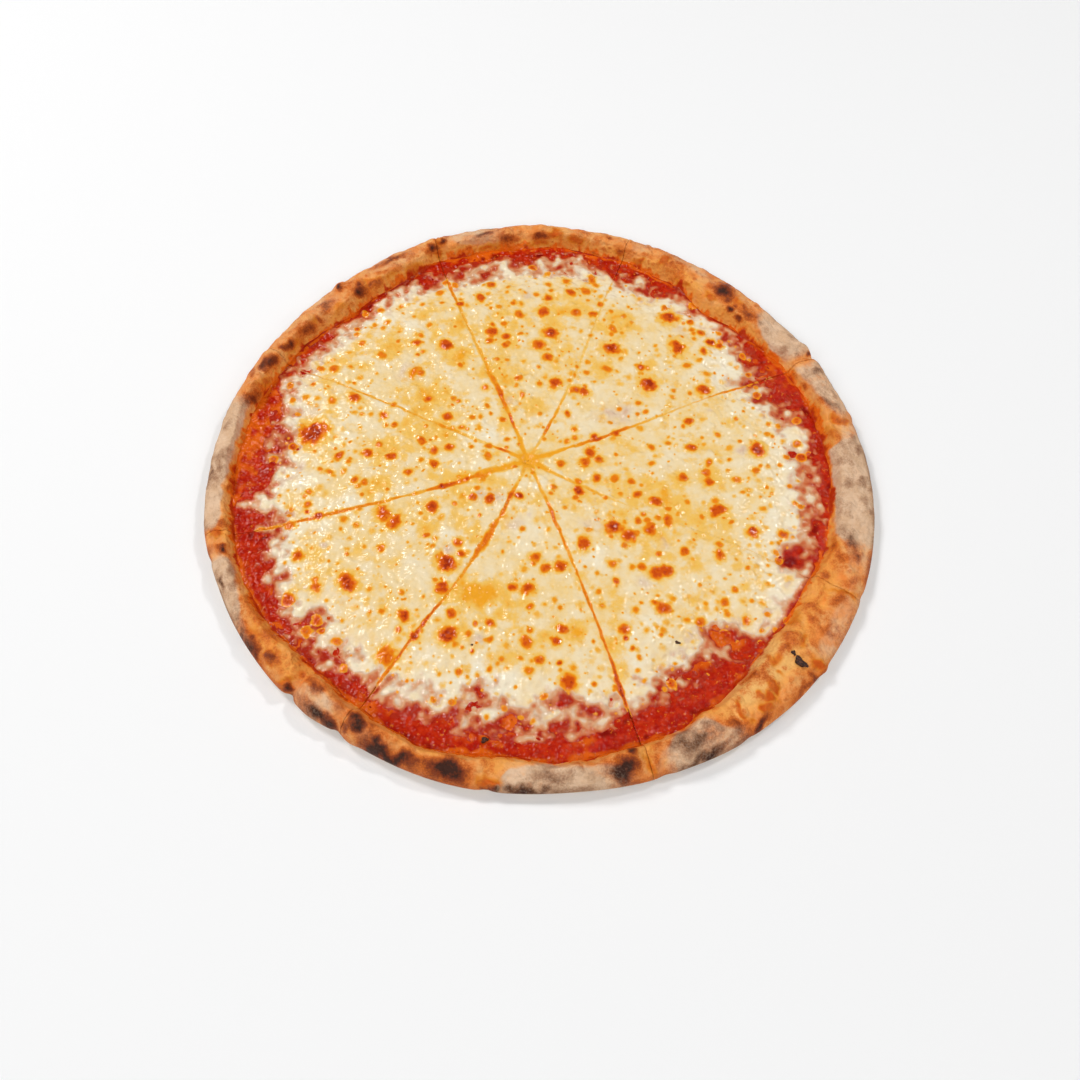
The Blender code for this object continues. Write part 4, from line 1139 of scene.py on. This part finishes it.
def cut_fillings(look):
    """Ribbons of cheese and oil in the cuts.

    Each is a slab 1 mm wide, and wider at the crossing, whose middle line follows a cut. Its top is the
    cheese's own surface, lowered to both sides as a parabola.
    """
    sides = np.linspace(-1.0, 1.0, FILLING_COLUMNS + 1)
    for cut in range(SLICES):
        across, along = np.meshgrid(sides, np.linspace(0.0, 1.0, FILLING_ROWS + 1))
        ray = np.full_like(across, CUTS[cut][0])
        bearing = rim_bearing(ray)
        reach = 0.2 * MM + (ray_reach(ray, around(bearing, CHEESE_EDGE)) - 1.0 * MM) * along
        half_width = 0.5 * MM + 1.0 * MM * np.exp(-reach / (4.0 * MM))
        aside = across * half_width + cut_drift(cut, reach)
        x = CUT_CROSSING[0] + reach * np.cos(np.radians(ray)) - aside * np.sin(np.radians(ray))
        y = CUT_CROSSING[1] + reach * np.sin(np.radians(ray)) + aside * np.cos(np.radians(ray))
        radius = np.hypot(x, y)
        top, masks = cheese_field(x.ravel(), y.ravel(), bearing.ravel(), radius.ravel())
        masks = {name: mask.reshape(x.shape) for name, mask in masks.items()}
        top = top.reshape(x.shape) + 0.03 * MM - 0.20 * MM * across ** 2
        underside = np.full_like(x, CHEESE_BOTTOM)
        top = np.maximum(top, underside + 0.2 * MM)
        slab(f"cut_filling_{cut + 1}", x, y, underside, top, masks, FILLING_STRIDE, look, "cheese")


def resting_height(x, y):
    """Height of the upper side of the pizza at one plan point."""
    spot_x = np.array([x])
    spot_y = np.array([y])
    radius = np.hypot(spot_x, spot_y)
    bearing = np.degrees(np.arctan2(spot_y, spot_x))
    cheese = cheese_field(spot_x, spot_y, bearing, radius)[0]
    return float(np.maximum(cheese, ground(spot_x, spot_y, bearing, radius))[0])


def crumbs(look):
    """Burnt crumbs on the cheese, sauce and rim, each resting on what lies below it."""
    points = []
    faces = []
    for order, mark in enumerate(CRUMBS):
        start = sum(len(group) for group in points)
        body, quads, caps = crumb(order, *mark)
        points.append(body)
        faces.append(start + quads)
        faces.append(start + caps)
    mesh = bpy.data.meshes.new("burnt_crumbs")
    fill_mesh(mesh, np.concatenate(points), faces)
    mesh.polygons.foreach_set("use_smooth", np.ones(len(mesh.polygons), dtype=bool))
    mesh.materials.append(look)
    return place("burnt_crumbs", mesh, "crust")


def crumb(order, mark_x, mark_y, length, width, bearing):
    """Points, quads and pole triangles of one crumb.

    It is a ball of circles of latitude, with a lump of three and five waves round it that fades at its poles.
    It is squashed to its length, its width and five eighths of its width, and then turned to its bearing.
    """
    polar = np.linspace(0.0, math.pi, CRUMB_RINGS + 1)
    turn = np.linspace(0.0, 2.0 * math.pi, CRUMB_SIDES + 1)[:-1]
    polar, turn = np.meshgrid(polar, turn)
    lump = 0.22 * np.sin(3.0 * turn + order) * np.sin(polar) + 0.12 * np.cos(5.0 * turn + 2.0 * polar)
    lump = 1.0 + lump * np.sin(polar)
    along = lump * np.sin(polar) * np.cos(turn) * length / 2.0
    aside = lump * np.sin(polar) * np.sin(turn) * width / 2.0
    up = lump * np.cos(polar) * width / 3.2
    cosine = math.cos(math.radians(bearing))
    sine = math.sin(math.radians(bearing))
    x = (mark_x + along * cosine - aside * sine) * MM - MIDDLE[0]
    y = (mark_y + along * sine + aside * cosine) * MM - MIDDLE[1]
    height = resting_height(mark_x * MM, mark_y * MM) / MM + width / 5.0
    z = (height + up) * MM
    body = np.stack((x, y, z), axis=-1)[:, 1:-1].reshape(-1, 3)
    poles = np.array([[x[0, 0], y[0, 0], z[0, 0]], [x[0, -1], y[0, -1], z[0, -1]]])
    ids = np.arange(CRUMB_SIDES * (CRUMB_RINGS - 1)).reshape(CRUMB_SIDES, CRUMB_RINGS - 1)
    following = np.roll(ids, -1, axis=0)
    quads = np.stack((ids[:, :-1], ids[:, 1:], following[:, 1:], following[:, :-1]), axis=-1)
    top_pole = np.full(CRUMB_SIDES, len(body))
    caps = np.concatenate((
        np.column_stack((top_pole, ids[:, 0], following[:, 0])),
        np.column_stack((top_pole + 1, following[:, -1], ids[:, -1])),
    ))
    return np.concatenate((body, poles)), quads.reshape(-1, 4), caps


def new_node(tree, kind, values=None, **settings):
    """Adds a shader node, sets its properties, and gives each named input a value or a node's output."""
    made = tree.nodes.new(kind)
    for key, value in settings.items():
        setattr(made, key, value)
    for key, value in (values or {}).items():
        if isinstance(value, bpy.types.NodeSocket):
            tree.links.new(value, made.inputs[key])
        else:
            made.inputs[key].default_value = value
    return made


def blend(tree, below, above, share):
    """Colour that goes from below to above by a share."""
    made = tree.nodes.new("ShaderNodeMix")
    made.data_type = "RGBA"
    made.clamp_factor = True
    for socket, value in ((made.inputs[0], share), (made.inputs[6], below), (made.inputs[7], above)):
        if isinstance(value, bpy.types.NodeSocket):
            tree.links.new(value, socket)
        elif isinstance(value, tuple):
            socket.default_value = (*value, 1.0)
        else:
            socket.default_value = value
    return made.outputs[2]


def maths(tree, operation, first, second):
    """One of the Math node's operations on two values."""
    made = new_node(tree, "ShaderNodeMath", {0: first, 1: second}, operation=operation, use_clamp=False)
    return made.outputs[0]


def ramp(tree, value, low, high, to_low=0.0, to_high=1.0):
    """Value eased from a range to another range."""
    values = {"Value": value, "From Min": low, "From Max": high, "To Min": to_low, "To Max": to_high}
    made = new_node(tree, "ShaderNodeMapRange", values, interpolation_type="SMOOTHSTEP")
    return made.outputs["Result"]


def mask_of(tree, name):
    """A piece's own mask, from its points."""
    made = new_node(tree, "ShaderNodeAttribute", attribute_name=name, attribute_type="GEOMETRY")
    return made.outputs["Fac"]


def make_group(name, inputs, outputs):
    """An empty node group with named number inputs, a place input and named outputs."""
    group = bpy.data.node_groups.new(name, "ShaderNodeTree")
    group.interface.new_socket("Place", in_out="INPUT", socket_type="NodeSocketVector")
    for socket_name, value in inputs:
        made = group.interface.new_socket(socket_name, in_out="INPUT", socket_type="NodeSocketFloat")
        made.default_value = value
    for socket_name in outputs:
        group.interface.new_socket(socket_name, in_out="OUTPUT", socket_type="NodeSocketFloat")
    return group, group.nodes.new("NodeGroupInput"), group.nodes.new("NodeGroupOutput")


def speckle_group():
    """Node group: patches where noise of a scale is over a level, with an edge of some softness."""
    inputs = (("Scale", 800.0), ("Level", 0.5), ("Softness", 0.1))
    group, given, result = make_group("speckle", inputs, ("Mask",))
    values = {"Vector": given.outputs["Place"], "Scale": given.outputs["Scale"]}
    values.update({"Detail": 3.0, "Roughness": 0.55})
    clouds = new_node(group, "ShaderNodeTexNoise", values).outputs["Fac"]
    high = maths(group, "ADD", given.outputs["Level"], given.outputs["Softness"])
    low = maths(group, "SUBTRACT", given.outputs["Level"], given.outputs["Softness"])
    group.links.new(ramp(group, clouds, low, high), result.inputs["Mask"])
    return group


def grain_group():
    """Node group: a height for Bump, of coarse noise and fine noise, the fine one by a share."""
    inputs = (("Coarse", 500.0), ("Fine", 1800.0), ("Fine Share", 0.4))
    group, given, result = make_group("grain", inputs, ("Height",))
    coarse_values = {"Vector": given.outputs["Place"], "Scale": given.outputs["Coarse"], "Detail": 0.0}
    coarse = new_node(group, "ShaderNodeTexNoise", coarse_values).outputs["Fac"]
    fine_values = {"Vector": given.outputs["Place"], "Scale": given.outputs["Fine"], "Detail": 2.0}
    fine = new_node(group, "ShaderNodeTexNoise", fine_values).outputs["Fac"]
    height = maths(group, "ADD", coarse, maths(group, "MULTIPLY", fine, given.outputs["Fine Share"]))
    group.links.new(height, result.inputs["Height"])
    return group


SPECKLE = speckle_group()
GRAIN = grain_group()


def speckle(tree, spot, scale, level, softness):
    """A speckle mask at a place."""
    made = tree.nodes.new("ShaderNodeGroup")
    made.node_tree = SPECKLE
    tree.links.new(spot, made.inputs["Place"])
    for key, value in (("Scale", scale), ("Level", level), ("Softness", softness)):
        made.inputs[key].default_value = value
    return made.outputs["Mask"]


def grain_bump(tree, spot, coarse, fine, fine_share, distance, gain=1.0):
    """A Bump node's normal from the grain group, whose height is multiplied by a gain."""
    made = tree.nodes.new("ShaderNodeGroup")
    made.node_tree = GRAIN
    tree.links.new(spot, made.inputs["Place"])
    for key, value in (("Coarse", coarse), ("Fine", fine), ("Fine Share", fine_share)):
        made.inputs[key].default_value = value
    height = maths(tree, "MULTIPLY", made.outputs["Height"], gain)
    return new_node(tree, "ShaderNodeBump", {"Height": height, "Distance": distance}).outputs["Normal"]


def new_material(name, constants):
    """A Principled material, its tree, its shader and the place on the piece. Constants go on sockets."""
    made = bpy.data.materials.new(name)
    made.use_nodes = True
    tree = made.node_tree
    shader = tree.nodes["Principled BSDF"]
    for key, value in constants.items():
        shader.inputs[key].default_value = value
    spot = new_node(tree, "ShaderNodeTexCoord").outputs["Object"]
    return made, tree, shader, spot


def cheese_material():
    """Melted cheese: cream with milky and oily places, pink where it is thin, and browned marks."""
    made, tree, shader, spot = new_material("melted_cheese", {"IOR": 1.45, "Specular IOR Level": 0.36})
    oil = mask_of(tree, "oil")
    thin = mask_of(tree, "thin")
    milk_and_lit_tops = mask_of(tree, "milk_and_lit_tops")
    cloud = speckle(tree, spot, 190.0, 0.5, 0.18)
    mottle = speckle(tree, spot, 520.0, 0.5, 0.16)
    colour = blend(tree, CREAM, PALE_CREAM, cloud)
    # Painted light: the milky blend also pales the tops of the cheese's lumps.
    colour = blend(tree, colour, MILKY, maths(tree, "MULTIPLY", milk_and_lit_tops, 0.9))
    # Painted shade: the oil mask is higher in the hollows between lumps, which turns them warmer, like shade in
    # translucent cheese.
    warm = maths(tree, "ADD", oil, ramp(tree, mottle, 0.0, 1.0, -0.06, 0.07))
    colour = blend(tree, colour, GOLDEN_OIL, ramp(tree, warm, 0.06, 0.48))
    colour = blend(tree, colour, ORANGE_OIL, ramp(tree, warm, 0.45, 0.95))
    veil = blend(tree, VEIL_CREAM, VEIL_PINK, ramp(tree, thin, 0.35, 0.62))
    veil = blend(tree, veil, VEIL_RED, ramp(tree, thin, 0.60, 0.84))
    veil = blend(tree, veil, VEIL_GONE, ramp(tree, thin, 0.82, 1.0))
    colour = blend(tree, colour, veil, ramp(tree, thin, 0.08, 0.50))
    brown = mask_of(tree, "brown")
    brown = maths(tree, "MULTIPLY", brown, ramp(tree, mottle, 0.0, 1.0, 0.86, 1.12))
    toast = blend(tree, BLISTER_GOLD, BLISTER_ORANGE, ramp(tree, brown, 0.12, 0.40))
    toast = blend(tree, toast, BLISTER_RUST, ramp(tree, brown, 0.38, 0.70))
    toast = blend(tree, toast, BLISTER_BROWN, ramp(tree, brown, 0.70, 1.0))
    colour = blend(tree, colour, toast, ramp(tree, brown, 0.03, 0.22))
    tree.links.new(colour, shader.inputs["Base Color"])
    wetness = speckle(tree, spot, 260.0, 0.5, 0.2)
    tree.links.new(ramp(tree, wetness, 0.0, 1.0, 0.13, 0.24), shader.inputs["Roughness"])
    gain = ramp(tree, thin, 0.0, 0.6, 1.0, 1.9)
    tree.links.new(grain_bump(tree, spot, 400.0, 900.0, 0.12, 0.0007, gain), shader.inputs["Normal"])
    return made


def sauce_material():
    """Baked tomato sauce: deep glossy red, with orange oily places, dark ones and a few seeds."""
    made, tree, shader, spot = new_material("tomato_sauce", {"IOR": 1.42, "Specular IOR Level": 0.20})
    pulp = speckle(tree, spot, 330.0, 0.5, 0.15)
    colour = blend(tree, SAUCE_RED, PULP_RED, pulp)
    colour = blend(tree, colour, OILY_SAUCE, ramp(tree, mask_of(tree, "orange"), 0.25, 0.95))
    colour = blend(tree, colour, DARK_SAUCE, ramp(tree, mask_of(tree, "dark"), 0.45, 1.0))
    seeds = speckle(tree, spot, 520.0, 0.66, 0.04)
    colour = blend(tree, colour, SEED_GOLD, maths(tree, "MULTIPLY", seeds, 0.6))
    tree.links.new(colour, shader.inputs["Base Color"])
    tree.links.new(ramp(tree, pulp, 0.0, 1.0, 0.12, 0.18), shader.inputs["Roughness"])
    tree.links.new(grain_bump(tree, spot, 480.0, 1000.0, 0.20, 0.0010), shader.inputs["Normal"])
    return made


def crust_material():
    """Baked dough: tan with toasted and burnt places, flour, and orange oil and sauce on its inner side.

    The underside is tan with brown spots and flour.
    """
    made, tree, shader, spot = new_material("baked_dough", {"IOR": 1.4, "Specular IOR Level": 0.22})
    flour = mask_of(tree, "flour")
    oil = mask_of(tree, "oil")
    stain = mask_of(tree, "stain")
    amber = mask_of(tree, "amber")
    cloud = speckle(tree, spot, 150.0, 0.5, 0.16)
    fine = speckle(tree, spot, 1300.0, 0.5, 0.12)
    dusty = ramp(tree, flour, 0.12, 0.65)
    brown = maths(tree, "ADD", mask_of(tree, "brown"), ramp(tree, fine, 0.0, 1.0, -0.04, 0.05))
    colour = blend(tree, DOUGH_TAN, DOUGH_BAKED, cloud)
    oiled = blend(tree, OILED_GOLD, OILED_ORANGE, ramp(tree, oil, 0.42, 0.92))
    colour = blend(tree, colour, oiled, ramp(tree, oil, 0.05, 0.55))
    colour = blend(tree, colour, blend(tree, FLOUR_PALE, FLOUR_TAN, cloud), dusty)
    colour = blend(tree, colour, SMEARED_CHEESE, maths(tree, "MULTIPLY", mask_of(tree, "smear"), 0.8))
    glaze = blend(tree, AMBER_LIGHT, AMBER_DEEP, ramp(tree, amber, 0.4, 1.0))
    colour = blend(tree, colour, glaze, ramp(tree, amber, 0.10, 0.70))
    plain_toast = blend(tree, TOAST_LIGHT, TOAST_DEEP, ramp(tree, brown, 0.32, 0.72))
    dusty_toast = blend(tree, DUSTY_TOAST_LIGHT, DUSTY_TOAST_DEEP, ramp(tree, brown, 0.35, 0.72))
    toast = blend(tree, plain_toast, dusty_toast, dusty)
    toast = blend(tree, toast, BURNT, ramp(tree, brown, 0.66, 0.98))
    colour = blend(tree, colour, toast, ramp(tree, brown, 0.12, 0.46))
    dust = maths(tree, "MULTIPLY", speckle(tree, spot, 900.0, 0.56, 0.12), 0.16)
    colour = blend(tree, colour, FLOUR_LOOSE, maths(tree, "MULTIPLY", dust, dusty))
    colour = blend(tree, colour, STAIN_RED, ramp(tree, stain, 0.25, 0.90))
    below = blend(tree, BELOW_TAN, BELOW_BROWN, speckle(tree, spot, 130.0, 0.57, 0.07))
    below_flour = maths(tree, "MULTIPLY", speckle(tree, spot, 260.0, 0.52, 0.12), 0.55)
    below = blend(tree, below, BELOW_FLOUR, below_flour)
    colour = blend(tree, colour, below, ramp(tree, mask_of(tree, "under"), 0.3, 0.9))
    tree.links.new(colour, shader.inputs["Base Color"])
    gloss = maths(tree, "MAXIMUM", ramp(tree, oil, 0.2, 0.9), ramp(tree, stain, 0.2, 0.8))
    dry = ramp(tree, flour, 0.2, 0.8, 0.62, 0.88)
    roughness = new_node(tree, "ShaderNodeMapRange", {"Value": gloss, "To Min": dry, "To Max": 0.24})
    tree.links.new(roughness.outputs["Result"], shader.inputs["Roughness"])
    tree.links.new(grain_bump(tree, spot, 600.0, 1700.0, 0.45, 0.0007), shader.inputs["Normal"])
    return made


def crumb_material():
    """Burnt crumb: nearly black, with a brown speckle."""
    made, tree, shader, spot = new_material("burnt_crumb", {"IOR": 1.4})
    colour = blend(tree, CRUMB_BLACK, CRUMB_BROWN, speckle(tree, spot, 1400.0, 0.55, 0.1))
    tree.links.new(colour, shader.inputs["Base Color"])
    ash = speckle(tree, spot, 900.0, 0.5, 0.2)
    tree.links.new(ramp(tree, ash, 0.0, 1.0, 0.45, 0.75), shader.inputs["Roughness"])
    tree.links.new(grain_bump(tree, spot, 900.0, 2400.0, 0.5, 0.0006), shader.inputs["Normal"])
    return made


def build_pizza():
    """Makes each slice's crust, sauce and cheese, then the oil in the cuts and the crumbs."""
    crust_look = crust_material()
    sauce_look = sauce_material()
    cheese_look = cheese_material()
    for index in range(SLICES):
        x, y, underside, top, masks = crust_slice(index)
        skin("crust", index, x, y, underside, top, masks, CRUST_STRIDE, crust_look)
        x, y, top, masks = sauce_slice(index)
        underside = np.full_like(x, DOUGH_THICKNESS + 0.1 * MM)
        top = np.maximum(top, underside + 0.1 * MM)
        skin("sauce", index, x, y, underside, top, masks, SAUCE_STRIDE, sauce_look)
        x, y, top, masks = cheese_slice(index)
        underside = np.full_like(x, CHEESE_BOTTOM)
        top = np.maximum(top, underside + 0.05 * MM)
        skin("cheese", index, x, y, underside, top, masks, CHEESE_STRIDE, cheese_look)
    cut_fillings(cheese_look)
    crumbs(crumb_material())


def skin(kind, index, x, y, underside, top, masks, stride, look):
    """The finer crust, sauce or cheese of a slice, which stands for its CAD node."""
    number = index + 1
    slab(f"{kind}_skin_{number}", x, y, underside, top, masks, stride, look, kind, f"{kind}_{number}")


def floor_and_lights():
    """A pale floor, a dim white world, a key lamp and a small hard one at the back, and three broad fills."""
    plane = bpy.data.meshes.new("floor")
    side = FLOOR_HALF_SIDE
    corners = [(-side, -side, 0.0), (side, -side, 0.0), (side, side, 0.0), (-side, side, 0.0)]
    plane.from_pydata(corners, [], [(0, 1, 2, 3)])
    floor = bpy.data.objects.new("floor", plane)
    bpy.context.scene.collection.objects.link(floor)
    paint = {"Base Color": (FLOOR_GREY, FLOOR_GREY, FLOOR_GREY, 1.0), "Roughness": 0.9}
    plane.materials.append(new_material("pale_floor", paint)[0])
    world = bpy.data.worlds.new("studio")
    world.use_nodes = True
    background = world.node_tree.nodes["Background"]
    background.inputs["Color"].default_value = (1.0, 1.0, 1.0, 1.0)
    background.inputs["Strength"].default_value = WORLD_STRENGTH
    bpy.context.scene.world = world
    for lamp in LAMPS:
        add_light(*lamp)


def add_light(name, spot, size, power):
    """A square area light that faces the pizza."""
    light = bpy.data.lights.new(name, "AREA")
    light.size = size
    light.energy = power
    lamp = bpy.data.objects.new(name, light)
    lamp.location = spot
    lamp.rotation_euler = (Vector((0.0, 0.0, 0.0)) - Vector(spot)).to_track_quat("-Z", "Y").to_euler()
    bpy.context.scene.collection.objects.link(lamp)


def camera():
    """The camera, at the eye of the marks, looking down and to +Y with a slight roll."""
    data = bpy.data.cameras.new("camera")
    data.sensor_width = CAMERA_SENSOR
    data.lens = CAMERA_LENS
    made = bpy.data.objects.new("camera", data)
    elevation = math.radians(CAMERA_ELEVATION)
    roll = math.radians(CAMERA_ROLL)
    back = Vector((0.0, -math.cos(elevation), math.sin(elevation)))
    level_up = Vector((0.0, math.sin(elevation), math.cos(elevation)))
    level_right = Vector((1.0, 0.0, 0.0))
    right = level_right * math.cos(roll) + level_up * math.sin(roll)
    up = level_up * math.cos(roll) - level_right * math.sin(roll)
    made.location = Vector(EYE) - Vector((MIDDLE[0], MIDDLE[1], 0.0))
    made.rotation_mode = "QUATERNION"
    made.rotation_quaternion = Matrix((right, up, back)).transposed().to_quaternion()
    bpy.context.scene.collection.objects.link(made)
    bpy.context.scene.camera = made


build_pizza()
floor_and_lights()
camera()
bpy.context.scene.view_settings.view_transform = "Standard"
